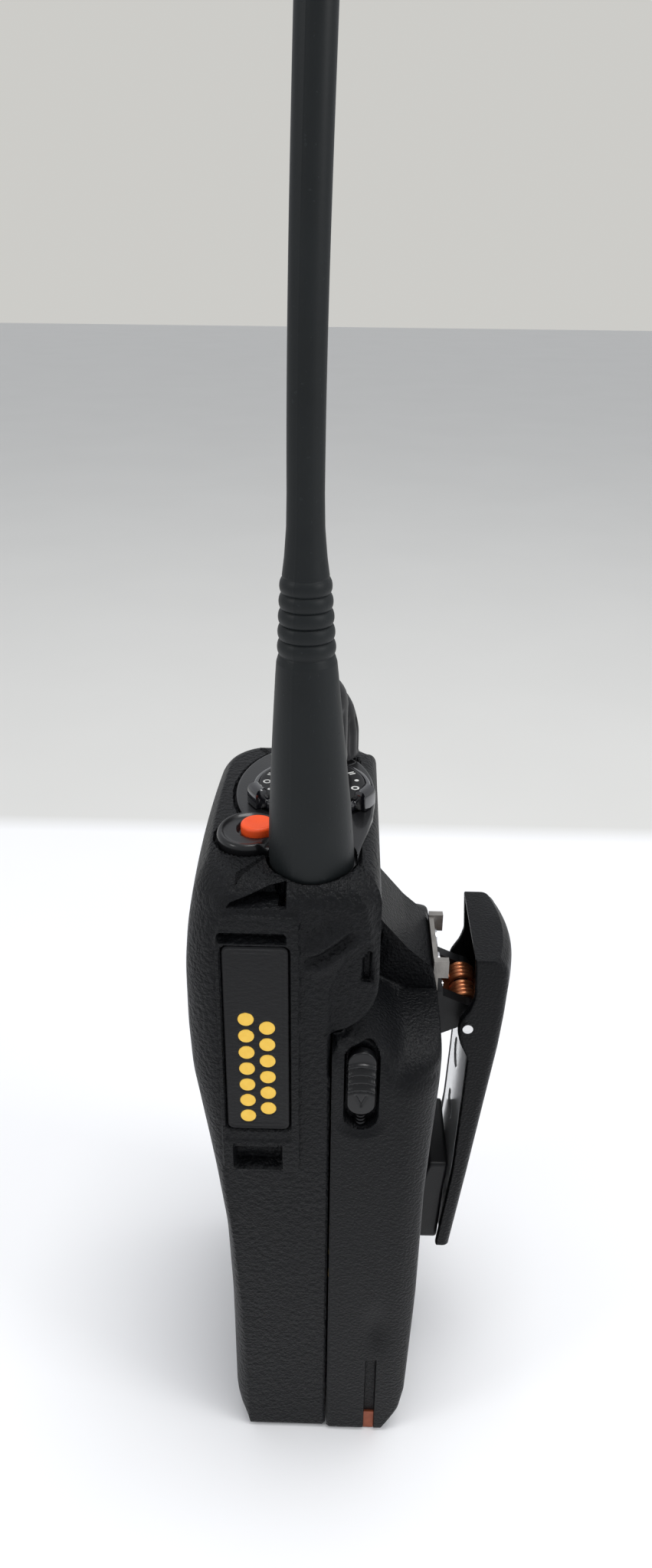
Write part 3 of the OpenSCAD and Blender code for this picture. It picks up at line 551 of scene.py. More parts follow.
def panel_relief(x, y):
    """Height of the panel's face: the collar with its bead and well, the antenna's socket, the dial's track."""
    from_collar = (np.hypot((x - 11.9) / 6.7, (y + 15.9) / 5.8) - 1) * 6.2
    from_antenna = np.hypot(x - antenna_at[0], y - antenna_at[1])
    height = 0.5 * step(0.9, -0.5, from_collar) * step(8.3, 9.6, from_antenna)
    height += 0.5 * hill(from_collar, -0.75, 0.62) * step(8.4, 9.6, from_antenna)
    height -= 0.9 * step(0.25, -0.2, np.hypot(x - orange_at[0], y - orange_at[1]) - 3.5)
    height -= 3.2 * step(7.6, 7.35, from_antenna)
    height -= 0.22 * step(0.2, -0.2, np.hypot(x - channel_at[0], y - channel_at[1]) - 11.6)
    return height - 0.2 * step(0.2, -0.2, np.hypot(x - volume_at[0], y - volume_at[1]) - 6.7)


panel_finish = Finish("panel_gloss", Specular_IOR_Level=0.3, Coat_Roughness=0.12)
panel_cloud = panel_finish.place.noise(130, 3)
panel_finish.feed(
    Base_Color=panel_cloud.blend((0.003, 0.003, 0.0035), (0.008, 0.0082, 0.009)),
    Roughness=0.26 + 0.14 * panel_cloud,
    Coat_Weight=0.15 + 0.25 * panel_finish.place.noise(60, 2),
    Normal=panel_finish.place.noise(1900, 2).bump(0.000018),
)
panel_rim = [(0.0, -0.8), (0.0, 0.1), (0.05, 0.3), (0.18, 0.46), (0.4, 0.55)]
panel_rows = slab_rows(panel_outline(-0.1), panel_rim, [(-8, -7), (6, -7)], panel_relief, fill=74)
panel_rows[..., 2] += case_top
skin("top_cover_panel", panel_rows, "radio", panel_finish, ["top_panel"], crease=50)

# -------------------------------------------------------------------- the dial
# A satin black disc under the channel knob with pale printed marks for its positions.
# It is fixed: the pointer ring turns round it, and the marks are thin raised ink.

dial_low, dial_high = box_mm("channel_dial")
dial_r, dial_top = (dial_high - dial_low)[0] / 2, dial_high[2]
dial_finish = Finish("dial_satin", Specular_IOR_Level=0.25)
dial_cloud = dial_finish.place.noise(260, 3)
dial_finish.feed(
    Base_Color=dial_cloud.blend((0.004, 0.004, 0.0045), (0.010, 0.010, 0.011)),
    Roughness=0.3 + 0.2 * dial_cloud,
    Normal=dial_finish.place.noise(3800, 1).bump(0.00002),
)
dial_rim = [(0, dial_low[2] - dial_top), (0, -0.35), (0.08, -0.12), (0.3, 0)]
dial_rows = slab_rows(round_outline(channel_at, dial_r - 0.02, 120), dial_rim, [channel_at, channel_at],
    lambda x, y: -0.25 * step(7.1, 6.9, np.hypot(x - channel_at[0], y - channel_at[1])), fill=26)
dial_rows[..., 2] += dial_top
skin("position_dial", dial_rows, "radio", dial_finish, ["channel_dial"], crease=45)

ink_finish = Finish("pale_ink")
ink_worn = ink_finish.place.noise(5000, 2)
ink_finish.feed(
    Base_Color=ink_worn.blend((0.52, 0.52, 0.5), (0.78, 0.78, 0.76)),
    Roughness=0.5 + 0.2 * ink_worn,
)


def join_grids(name, grids, body, finish, replaced=(), crease=None):
    """Several closed grids as one piece."""
    made = [skin(f"{name}_{i}", rows, body, finish, ()) for i, rows in enumerate(grids)]
    work = bmesh.new()
    for piece in made:
        work.from_mesh(piece.data)
        bpy.data.objects.remove(piece)
    mesh = bpy.data.meshes.new(name)
    work.to_mesh(mesh)
    work.free()
    return settle(mesh, name, body, finish, replaced, crease)


def ring_rows(centre, outer, inner, low, high, count=28):
    """A flat ring with square edges as a grid whose rows run round its section."""
    section = [(inner, low), (outer, low), (outer, high), (inner, high), (inner, low)]
    return np.stack([np.column_stack([round_outline(centre, r, count), np.full(count, z)]) for r, z in section])


def dial_marks():
    """Marks at sixteen positions: an open ring, a dot and a double bar in turn."""
    grids = []
    for index in range(16):
        angle = np.radians(74 + 22 * index)
        out = np.array([np.cos(angle), np.sin(angle)])
        at, side = channel_at + 8.45 * out, np.array([-out[1], out[0]])
        low, high = dial_top - 0.05, dial_top + 0.03
        if index % 3 == 0:
            grids.append(ring_rows(at, 0.78, 0.45, low, high))
        elif index % 3 == 2:
            for shift in (-0.32, 0.32):
                bar = at + 0.62 * np.array([[1, 1], [-1, 1], [-1, -1], [1, -1]])[:, :1] * out
                bar = bar + (shift + 0.17 * np.array([1, 1, -1, -1]))[:, None] * side * np.array([1.0])
                grids.append(slab_rows(even(bar, 16), [(0, low), (0, high)], [at + shift * side] * 2, fill=3))
        else:
            grids.append(slab_rows(round_outline(at, 0.42, 16), [(0, low), (0, high)], [at, at], fill=3))
    return grids


join_grids("dial_marks", dial_marks(), "radio", ink_finish, crease=40)

# ------------------------------------------------------------- the knobs
# Turned-looking mouldings of soft black rubber over a hard core. The channel knob is tall with a domed top,
# the volume knob tapers to a round crown, and both have finger flutes.


def turned_rows(centre, profile, count=96, wave=None, bow=None):
    """A piece turned about an upright line: its (radius, height) profile swept round. wave alters the radius with
    angle and height, and bow moves the middle of each row sideways by height."""
    radius, height = (np.array(part, float)[:, None] for part in zip(*profile))
    angle = np.linspace(0, 2 * np.pi, count, endpoint=False)[None]
    reach = radius + (wave(angle, height) if wave else 0) * (radius > 0.3)
    x, y = centre[0] + reach * np.cos(angle), centre[1] + reach * np.sin(angle)
    if bow:
        y = y + bow(height)
    return np.stack([x, y, height + 0 * angle], -1)


def eased(profile, steps=6):
    """The profile with its corners rounded: a curve through its points, its slopes taken from their neighbours."""
    points = np.array(profile, float)
    ends = np.vstack([2 * points[0] - points[1], points, 2 * points[-1] - points[-2]])
    t = np.linspace(0, 1, steps, endpoint=False)[:, None]
    parts = []
    for before, a, b, after in zip(ends[:-3], ends[1:-2], ends[2:-1], ends[3:]):
        pull_a, pull_b = (b - before) / 3, (after - a) / 3
        parts.append((2 * t**3 - 3 * t**2 + 1) * a + (t**3 - 2 * t**2 + t) * pull_a + (3 * t**2 - 2 * t**3) * b
            + (t**3 - t**2) * pull_b)
    return np.vstack(parts + [points[-1:]])


knob_finish = Finish("knob_rubber", Specular_IOR_Level=0.3)
knob_cloud = knob_finish.place.noise(220, 3)
knob_finish.feed(
    Base_Color=knob_cloud.blend((0.003, 0.003, 0.0035), (0.008, 0.0082, 0.009)),
    Roughness=0.3 + 0.2 * knob_cloud,
    Normal=knob_finish.place.noise(2600, 2).bump(0.00003),
)


def flutes(count, depth, low, high):
    """Finger flutes: hollows spaced round a knob, between two heights."""
    return lambda angle, z: -depth * (0.5 + 0.5 * np.cos(count * angle)) ** 3 * step(low - 0.4, low + 0.8, z) * step(
        high + 0.8, high - 0.8, z)


channel_foot, channel_tip = dial_top + 0.3, box_mm("channel_knob")[1, 2]
channel_profile = [(0, channel_foot), (5.3, channel_foot), (5.5, channel_foot + 0.3), (5.5, channel_foot + 3.6),
    (6.2, channel_foot + 4.4), (6.55, channel_foot + 5), (6.6, channel_foot + 10), (6.55, channel_foot + 15.6),
    (6.1, channel_foot + 18), (5, channel_foot + 19.7), (3.2, channel_tip - 0.35), (0, channel_tip)]
skin("tall_channel_knob", turned_rows(channel_at, eased(channel_profile), wave=flutes(12, 0.5, channel_foot + 6,
    channel_foot + 15)), "channel_knob", knob_finish, ["channel_knob"], crease=60)
volume_foot, volume_tip = case_top + 1.2, box_mm("volume_knob")[1, 2]
volume_profile = [(0, volume_foot), (5.8, volume_foot), (6, volume_foot + 0.3), (5.98, volume_foot + 4.8),
    (5.6, volume_foot + 7.2), (4.8, volume_foot + 10), (3.6, volume_foot + 12.2), (1.6, volume_tip - 0.45),
    (0, volume_tip)]
skin("round_volume_knob", turned_rows(volume_at, eased(volume_profile), wave=flutes(14, 0.4, volume_foot + 0.8,
    volume_foot + 8)), "volume_knob", knob_finish, ["volume_knob"], crease=60)

# -------------------------------------------------------------- the lever ring
# A glossy black ring that turns round the dial by its two thumb tabs.
# The tabs' tops are rounded over and catch the light.

ring_low, ring_high = box_mm("lever_ring")


def lever_rows():
    """The ring's section, from its inner wall over the top and down outside, swept round. Near plus and minus
    60 degrees the section grows outwards and upwards into a tab."""
    angle = np.linspace(0, 2 * np.pi, 480, endpoint=False)[None]
    tab = sum(step(0.2, 0.145, np.abs(angle - at)) for at in (np.pi / 3, 5 * np.pi / 3))
    reach, rise = 1.6 * tab, (ring_high[2] - ring_low[2] - 1.5) * tab
    across_t = np.array([0, 0.04, 0.12, 0.3, 0.6, 0.82, 0.93, 1, 1, 1, 0.5, 0, 0])[:, None]
    height_t = np.array([0.8, 0.95, 1, 1, 0.98, 0.93, 0.82, 0.6, 0.2, 0, 0, 0, 0.8])[:, None]
    inner = dial_r + 0.05
    r = inner + (1.05 + reach) * across_t
    z = ring_low[2] + (1.5 + rise * step(0.0, 0.16, across_t)) * height_t
    return np.stack([channel_at[0] + r * np.cos(angle), channel_at[1] + r * np.sin(angle), z], -1)


lever_finish = Finish("lever_gloss", Specular_IOR_Level=0.55, Coat_Roughness=0.05)
lever_cloud = lever_finish.place.noise(180, 2)
lever_finish.feed(
    Base_Color=lever_cloud.blend((0.003, 0.003, 0.004), (0.008, 0.008, 0.011)),
    Roughness=0.07 + 0.08 * lever_cloud,
    Coat_Weight=0.6 + 0.3 * lever_cloud,
)
skin("lever_with_tabs", lever_rows(), "lever_ring", lever_finish, ["lever_ring"], crease=55)

# -------------------------------------------------------- the emergency button
# A domed cap of orange rubber standing in the collar. It is pressed straight down.

orange_high = box_mm("emergency_button")[1]
orange_finish = Finish("emergency_rubber", Specular_IOR_Level=0.35, Subsurface_Radius=(0.002, 0.0008, 0.0004))
orange_cloud = orange_finish.place.noise(420, 3)
orange_finish.feed(
    Base_Color=orange_cloud.blend((0.86, 0.075, 0.012), (0.97, 0.11, 0.02)),
    Roughness=0.36 + 0.16 * orange_cloud,
    Normal=orange_finish.place.noise(4200, 2).bump(0.000025),
)
orange_rim = [(0.1, -3.4), (0, -3.2), (0, -0.62), (0.07, -0.34), (0.26, -0.12), (0.55, 0)]
orange_rows = slab_rows(round_outline(orange_at, 3, 72), orange_rim, [orange_at, orange_at],
    lambda x, y: -0.16 * hill(np.hypot(x - orange_at[0], y - orange_at[1]), 0, 1.5), fill=14)
orange_rows[..., 2] += orange_high[2]
skin("emergency_cap", orange_rows, "emergency_button", orange_finish, ["emergency_button"],
    crease=60)

# ----------------------------------------------------------- the connector
# A finely textured black plate snapped into the frame, with a fine raised edge and thirteen gold-plated
# spring pads, seven in one column and six between them in the other.

plate_face = box_mm("connector_plate")[1, 0]
pads_low, pads_high = box_mm("contact_pads")[:, 1:]
pad_d = 2.9
pad_pitch = (pads_high[1] - pads_low[1] - pad_d) / 6
pads = [(pads_low[0] + pad_d / 2, pads_high[1] - pad_d / 2 - pad_pitch * i) for i in range(7)]
pads += [(pads_high[0] - pad_d / 2, pads_high[1] - pad_d / 2 - pad_pitch * (i + 0.5)) for i in range(6)]


def plate_relief(y, z):
    """Height of the plate: a fine bead inside the edge, a shallow border step, a round hollow for each pad."""
    edge_gap = from_box(y, z, plate_low, plate_high, 1.2)
    height = 0.09 * hill(edge_gap, -0.42, 0.2) - 0.05 * step(-1.3, -1.55, edge_gap)
    for at in pads:
        height = height - 0.16 * step(0.1, -0.1, np.hypot(y - at[0], z - at[1]) - pad_d / 2 - 0.05)
    return height


plate_finish = Finish("plate_texture", Specular_IOR_Level=0.22)
plate_wave = plate_finish.place.node("Mapping", {"vector_type": "POINT"}, {"Vector": plate_finish.place,
    "Scale": (1, 0.45, 1)}).noise(2100, 2, 0.5)
plate_finish.feed(
    Base_Color=plate_wave.blend((0.0025, 0.0025, 0.003), (0.006, 0.0063, 0.0072)),
    Roughness=0.34 + 0.12 * plate_finish.place.noise(80, 2),
    Normal=plate_wave.between(0.35, 0.65).bump(0.00003),
)
plate_rows = slab_rows(round_box(plate_low, plate_high, 1.2), [(0, -1.2), (0, -0.2), (0.04, -0.09), (0.14, 0)],
    [(np.mean([plate_low[0], plate_high[0]]), plate_low[1] + 5.7), (np.mean([plate_low[0], plate_high[0]]),
    plate_high[1] - 5.7)], plate_relief, fill=54)
plate_rows[..., 2] += plate_face - 0.02
skin("accessory_plate", to_right(plate_rows), "radio", plate_finish, ["connector_plate"],
    crease=50)

gold_finish = Finish("gold_plating", Specular_IOR_Level=0.5)
gold_cloud = gold_finish.place.noise(900, 3)
gold_finish.feed(
    Base_Color=gold_cloud.blend((0.86, 0.52, 0.06), (0.96, 0.66, 0.14)),
    Metallic=0.55 + 0.2 * gold_cloud,
    Roughness=0.42 + 0.16 * gold_cloud,
    Normal=gold_finish.place.noise(6000, 2).bump(0.00001),
)
pad_grids = []
for pad in pads:
    pad_rows = slab_rows(round_outline(pad, pad_d / 2 - 0.03, 48), [(0, -0.35), (0, -0.1), (0.05, -0.02), (0.16, 0)],
        [pad, pad], fill=6)
    pad_rows[..., 2] += plate_face - 0.06
    pad_grids.append(to_right(pad_rows))
join_grids("gold_pads", pad_grids, "radio", gold_finish, ["contact_pads"], crease=50)

# ----------------------------------------------------------------- the antenna
# A helical antenna in one black rubber moulding: a tapering boot, five soft rings where it bends, a short cone and
# a long rod. It screws into the bush, so its round foot sits in a socket, and a mould line runs up both sides.

antenna_low, antenna_high = box_mm("antenna_sheath")[:, 2]
rod_r, ring_from, ring_step = 2.78, 175.5, 2.4


def antenna_profile():
    """Radius by height: the boot's taper, five rounded rings with grooves between, the cone and the rod."""
    sizes = [(antenna_low, 6.0), (antenna_low + 0.35, 6.8), (antenna_low + 1.3, 7.16), (141, 7.2), (148.8, 6.77),
        (155.7, 6.24), (161.5, 5.79), (166.4, 5.4), (171.8, 4.97), (174.2, 4.75), (175.6, 4.32), (181.1, 4.03),
        (187.4, 3.64), (190.5, 3.23), (194.8, 2.88), (199.7, rod_r), (antenna_high - 2.2, rod_r)]
    z = np.concatenate([np.linspace(antenna_low, 140, 16), np.linspace(140.5, 173.5, 40), np.linspace(173.7, 189, 110),
        np.linspace(189.5, 200, 24), np.linspace(202, antenna_high - 2.2, 50)])
    radius = np.interp(z, *zip(*sizes))
    turn_at = (z - ring_from) / ring_step
    among = step(-0.1, 0.1, turn_at) * step(5.1, 4.9, turn_at)
    swell = np.abs(np.sin(np.pi * np.clip(turn_at, 0, 5))) ** 0.45
    radius = radius + among * (0.52 * swell - 0.22)
    cap = np.linspace(0, np.pi / 2, 9)[1:]
    crown = np.stack([rod_r * np.cos(cap), antenna_high - 2.2 + 2.2 * np.sin(cap)], -1)
    foot = [(0, antenna_low)]
    return foot + list(zip(radius, z)) + [tuple(p) for p in crown[:-1]] + [(0, antenna_high)]


def mould_line(angle, z):
    """Two fine raised lines up opposite sides of the antenna."""
    off = [np.angle(np.exp(1j * (angle - at))) for at in (-0.42, np.pi - 0.42)]
    return 0.055 * sum(np.exp(-((turn_off / 0.022) ** 2)) for turn_off in off)


antenna_finish = Finish("antenna_rubber", Specular_IOR_Level=0.24)
rubber_cloud = antenna_finish.place.noise(70, 4, 0.6)
rubber_dust = antenna_finish.place.noise(1500, 1, 0.4).between(0.73, 0.77)
antenna_finish.feed(
    Base_Color=(rubber_cloud * 0.8 + rubber_dust * 0.9).blend((0.0035, 0.0046, 0.005), (0.0125, 0.0155, 0.0165)),
    Roughness=0.36 + 0.22 * rubber_cloud + 0.15 * rubber_dust,
    Normal=(antenna_finish.place.noise(1300, 3) + 1.5 * rubber_dust).bump(0.000016),
)
skin("antenna_boot_and_rod", turned_rows(antenna_at, antenna_profile(), 160, mould_line,
    lambda z: -1.2 * np.sin(np.pi * np.maximum(z - antenna_low, 0) / 122)), "radio", antenna_finish,
    ["antenna_sheath"], crease=70)

# ----------------------------------------------------------------- the battery
# A closed pack in finer, satin black plastic. Behind the tab of the case its shoulder sweeps up to a narrow boss for
# the belt clip. Each side has a well for its latch, a charger rail at the foot and a soft dent above the rail.

latch_low, latch_high = box_mm("latch_right")[:, 1:]
rail_low, rail_high = box_mm("charging_contacts")[:, 1:]
bracket_low, bracket_high = box_mm("clip_bracket")
boss_half, ledge_z, shoulder_r = 9.5, 108.6, 12
tab_edge = [(-0.6, 104), (-0.6, 107.9), (0.8, 108.2), (2.6, 109), (4.3, 110.2), (5.8, 112), (6.9, 114.2), (7.5, 117),
    (7.7, 125)]
battery_front_line = [(107.8, seam_battery), (108.2, 0.8), (109, 2.6), (110.2, 4.3), (112, 5.8), (114.2, 6.9),
    (116.9, 7.5), (119, 7.65), (122, 7.65)]
battery_back_line = [(0, 10.7), (7.4, 14.8), (13.2, 15.9), (42, 17.1), (70, 17.4), (83, 18.2), (99, 19.5), (105, 19.1),
    (109.8, 18), (114.2, 13.1), (119.9, 8.4), (120.7, 7.8)]


def shoulder_inset(y, z):
    """How far the side has drawn in: a full round up to the ledge beside the boss, lower at the back, and
    a shallow fall towards the tab's round corner. Lower down the round begins behind the latch."""
    top = ledge_z - 3.7 * step(5, 12.5, y)
    climb = np.clip((z - top) / shoulder_r + 1, 0, 1)
    drawn = (half_width - boss_half) * (1 - np.sqrt(np.maximum(1 - climb**3.4, 0)))
    begin = 6.6 - 6.6 * step(104, 109.5, z)
    fall = step(4.2, 0, from_line(y, z, tab_edge)[0]) * step(101, 108, z) * step(118, 110, z)
    rim = step(1.1, 0.25, from_line(y, z, tab_edge)[0]) * step(104, 107.5, z) * step(119, 113, z)
    return drawn * step(0, 1, (y - begin) / 6.5) + 1.1 * fall + 1.3 * rim


def battery_relief(y, z):
    """Height of a side: the latch's well with its dished rim, the charger rail, the dent and a mould line."""
    well = from_box(y, z, (latch_low[0] - 0.4, latch_low[1] - 3.2), (latch_high[0] + 0.4, latch_high[1] + 1.7),
        2.98)
    height = -0.62 * step(2.3, -0.1, well) - 2.5 * step(0.14, -0.14, well)
    rail = from_box(y, z, (rail_low[0] - 0.05, -3), (rail_high[0] + 0.05, 23.1), 0.15)
    height -= 1.05 * step(0.1, -0.1, rail)
    height -= 0.85 * np.exp(-(((y - 9.4) / 2.3) ** 2) - ((z - 33) / 5.2) ** 2)
    height -= 0.07 * hill(y, 1.55, 0.16) * step(85, 80, z)
    return height - 0.4 * step(0.6, 0, y - seam_battery) * step(108, 107, z)


def soft_least(a, b, width):
    """The smaller of two, with the change from one to the other rounded over that width."""
    share = np.clip(0.5 + 0.5 * (b - a) / width, 0, 1)
    return b + (a - b) * share - width * share * (1 - share)


def battery_rows():
    """The battery as one grid. Columns run round its plan from the +X side's front edge over the back, rows go
    up from the base over the shoulders to the top of the boss."""
    foot_up = np.linspace(0, np.pi / 2, 6)
    z = np.concatenate([1.2 * (1 - np.cos(foot_up)), np.linspace(1.6, 26, 60), np.linspace(27, 84, 40),
        np.linspace(84.5, 98, 56), np.linspace(98.15, 110.4, 110), np.linspace(110.6, 120.6, 50)])[:, None]
    front = np.where(z > 107.8, flowing(z, battery_front_line, 0.2), seam_battery)
    back = flowing(z, battery_back_line, 0.5)
    corner_r = 7.5 - 6.2 * step(98, 104.5, z)
    turn_y = 19.9 - corner_r
    first, then = np.linspace(0, 1, 52)[:-1], np.linspace(0, 1, 12)[:-1]
    side = np.hstack([front + (10.4 - front) * first, 10.4 + (turn_y - 10.4) * then])
    bend = np.linspace(0, np.pi / 2, 18)
    y = np.hstack([side, turn_y + corner_r * np.sin(bend)])
    ahead = np.hstack([half_width + 0 * side, half_width - corner_r + corner_r * np.cos(bend)])
    y = soft_least(y, back, 0.9)
    y = np.maximum(y, front + 0.15 * np.linspace(0, 1, y.shape[1]))
    high = z + 0 * y
    foot = 1.0 * (1 - np.sin(np.minimum(z / 1.2, 1) * np.pi / 2))
    x = ahead - shoulder_inset(y, high) + battery_relief(y, high) - foot
    flat = np.linspace(1, -1, 46)[1:-1]
    back_x, back_y = x[:, -1:] * flat, y[:, -1:] + 0 * flat
    seat = from_box(back_x, z + 0 * flat, (-9, bracket_low[2] - 0.2), (9, bracket_high[2] + 4), 0.5)
    back_y = np.minimum(back_y, np.where(seat < 0, 18.38, 99))
    label = from_box(back_x, z + 0 * flat, (-19.5, 46), (19.5, 96), 3)
    back_y -= 0.35 * step(0.4, -0.4, label) * step(45, 48, z)
    front_x = np.linspace(-1, 1, 8)[1:-1] * x[:, :1]
    x = np.hstack([x, back_x, -x[:, ::-1], front_x])
    y = np.hstack([y, back_y, y[:, ::-1], y[:, :1] + 0 * front_x])
    body = np.stack([x, y, z + 0 * x], -1)

    def close(loop, ends_y, steps):
        target = np.stack([np.clip(loop[:, 0], -12, 12), ends_y + 0 * loop[:, 1], loop[:, 2]], -1)
        return target + (loop - target) * steps[:, None, None]

    under = close(body[0], 5.0, np.linspace(0, 1, 9)[:-1])
    over = close(body[-1], 7.8, np.linspace(1, 0, 5)[1:])
    return np.concatenate([under, body, over])


battery_finish = grained("battery_grain", (0.0024, 0.0026, 0.003), (0.0078, 0.0083, 0.0096), 0.36, 0.0003, 0.0001)
skin("battery_pack", battery_rows(), "radio", battery_finish, ["battery_case"], crease=48)

# ---------------------------------------------------------------- the latches
# A sprung slider on each side that frees the battery when both are pushed down. Each is a pill of glossier black
# plastic with four arched finger ribs and a cut arrow below them.


def latch_relief(y, z):
    """Height of the slider: a low crown, four ribs arched like fingertips, and an arrow cut in lower down."""
    middle_y, middle_z = (latch_low[0] + latch_high[0]) / 2, (latch_low[1] + latch_high[1]) / 2
    arch = z - middle_z + 0.11 * (y - middle_y) ** 2
    height = 0.35 * (1 - ((z - middle_z) / 7.2) ** 2) - 0.1 * ((y - middle_y) / 2.6) ** 2
    for i in range(4):
        rise = arch - (-0.6 + 1.75 * i)
        height += 0.5 * step(-0.62, -0.1, rise) * step(0.5, 0.12, rise) - 0.25 * hill(rise, -0.85, 0.22)
    arrow, _ = from_line(y, z, [(middle_y - 1.0, middle_z - 2.5), (middle_y, middle_z - 4.9),
        (middle_y + 1.0, middle_z - 2.5)])
    return height - 0.3 * hill(arrow, 0, 0.24)


latch_finish = Finish("latch_plastic", Specular_IOR_Level=0.35)
latch_cloud = latch_finish.place.noise(200, 3)
latch_finish.feed(
    Base_Color=latch_cloud.blend((0.002, 0.002, 0.0024), (0.006, 0.0063, 0.007)),
    Roughness=0.22 + 0.2 * latch_cloud,
    Normal=latch_finish.place.noise(3000, 2).bump(0.00002),
)
latch_outline = round_box(latch_low + 0.05, latch_high - 0.05, 2.5, 14)
latch_spine = [((latch_low[0] + latch_high[0]) / 2, latch_low[1] + 2.6), ((latch_low[0] + latch_high[0]) / 2,
    latch_high[1] - 2.6)]
for latch_node, placed in (("latch_right", to_right), ("latch_left", to_left)):
    latch_rows = slab_rows(latch_outline, [(0, -1.6), (0, -0.25), (0.05, -0.1), (0.2, 0)], latch_spine, latch_relief,
        fill=34)
    latch_rows[..., 2] += half_width - 0.72
    skin(f"{latch_node}_slider", placed(latch_rows), latch_node, latch_finish, [latch_node],
        crease=60)

# --------------------------------------------------------------- the belt clip
# A long moulded lever on a steel pin, pulled shut by a copper-coloured torsion spring. Its web and two side flanges
# are one black moulding with a chamfered outer edge. A bright steel plate lines it, and a rubber block is its tip.

clip_half = box_mm("clip_lever")[1, 0]
outer_line = [(38.3, 25.2), (59.9, 27.8), (76.9, 29.7), (92.7, 31.5), (100.6, 32.1), (107.7, 32.4), (110.8, 32.3),
    (112.5, 31.5), (113.5, 30.1)]
flange_line = [(38.3, 22.3), (60.1, 24.6), (75.6, 25.2), (90.2, 25.6), (93.7, 24), (96.3, 23.4), (99.1, 23.6),
    (102.1, 25.3), (104.9, 26.1), (113.5, 25.6)]
web_line = [(38.3, 23.3), (51.3, 24.6), (60.3, 25.6), (73.4, 27), (89.6, 29), (101, 30.1), (106, 30.3), (110, 29.9),
    (111.4, 28.6), (111.9, 25.9), (113.5, 25.7)]


def lever_section_rows():
    """The lever as a grid: rows go down its length, columns run round its channel section, over the outer face
    with its chamfers, round each flange and across the inside of the web."""
    crown = np.linspace(0, np.pi / 2, 7)[:-1]
    z = np.concatenate([113.5 - 0.8 * (1 - np.cos(crown)), np.linspace(112.6, 86, 76), np.linspace(85.5, 39.4, 46),
        38.3 + 1.1 * (1 - np.sin(crown))])[:, None]
    ends = np.ones_like(z)
    ends[:6, 0] = np.sin(crown) * 0.35 + 0.65
    outer, flange, web = (flowing(z, line, ease) for line, ease in ((outer_line, 0.8), (flange_line, 0.6),
        (web_line, 0.3)))
    swell = step(76, 108, z)
    outer = np.maximum(outer, flange + 0.5)
    web = np.clip(web, flange + 0.05, outer - 1.2)
    half = clip_half - 0.9 * (1 - ends)
    wall = 1.8
    bend = np.linspace(0, np.pi / 2, 6)
    cut = np.minimum(1.5, 0.45 * (outer - flange))
    across_out = np.linspace(-1, 1, 40)[1:-1]
    corner_x, corner_y = half - cut * (1 - np.sin(bend)), outer - cut * (1 - np.cos(bend))
    face_y = outer + (0.3 + 1.2 * swell) * (1 - across_out**2)
    side_t = np.linspace(0, 1, 12)[1:-1]
    side_y = (outer - cut) + (flange + 0.25 - outer + cut) * side_t
    lip = np.linspace(0, np.pi, 7)
    lip_x = half - wall / 2 + wall / 2 * np.cos(lip)
    lip_y = flange + 0.25 - 0.25 * np.sin(lip)
    inner_y = flange + 0.25 + (web - flange - 0.25) * side_t
    across_in = np.linspace(1, -1, 30)[1:-1]
    plus_x = np.hstack([corner_x, half + 0 * side_y, lip_x, half - wall + 0 * inner_y])
    plus_y = np.hstack([corner_y, side_y, lip_y, inner_y])
    x = np.hstack([across_out * (half - cut), plus_x, across_in * (half - wall), -plus_x[:, ::-1]])
    y = np.hstack([face_y, plus_y, web + 0 * across_in, plus_y[:, ::-1]])
    rows = np.stack([x, y, z + 0 * x], -1)
    middle_top = np.stack([x[0], 0 * x[0] + (outer[0] + flange[0]) / 2, 0 * x[0] + 113.5], -1)
    middle_foot = np.stack([x[-1], 0 * x[-1] + (outer[-1] + flange[-1]) / 2, 0 * x[-1] + 38.3], -1)
    return np.concatenate([middle_top[None], rows, middle_foot[None]])


clip_finish = grained("clip_grain", (0.0024, 0.0026, 0.003), (0.0078, 0.0082, 0.0094), 0.35, 0.00028, 0.00009)
skin("clip_channel", lever_section_rows(), "belt_clip", clip_finish, ["clip_lever"], crease=50)

# ------------------------------------------------------- the clip's steel parts
# A bright chromed plate lines the lever, held in its side grooves, with two round holes. A soft black block closes
# its foot. Coppered springs, a turned pin and a folded steel bracket carry it.


def plate_rows_at(face_line, thick, half, holes):
    """A bent plate as a grid: rows go up its length, columns run over its face, round its edge and back behind,
    with round hollows right through at the holes' heights."""
    z = np.linspace(face_line[0][0], face_line[-1][0], 150)[:, None]
    face = flowing(z, face_line, 1.5)
    over = np.linspace(-1, 1, 60)
    x = np.hstack([over * half, over[::-1] * half])[None] + 0 * z
    front = np.hstack([np.full(60, 0.0), np.full(60, thick)])[None]
    y = face + front + 0.35 * (x / half) ** 2
    near = np.min([np.hypot(x, z - at) - r for at, r in holes], 0)
    sunk = step(0.12, -0.12, near)
    y = y + sunk * np.where(front == 0, thick * 0.48, -thick * 0.48)
    rows = np.stack([x, y, z + 0 * x], -1)
    low, high = rows[:1].copy(), rows[-1:].copy()
    for end, line in ((low, face[0]), (high, face[-1])):
        end[..., 1] = line + thick / 2 + 0.35 * (end[..., 0] / half) ** 2
    return np.concatenate([low, rows, high])


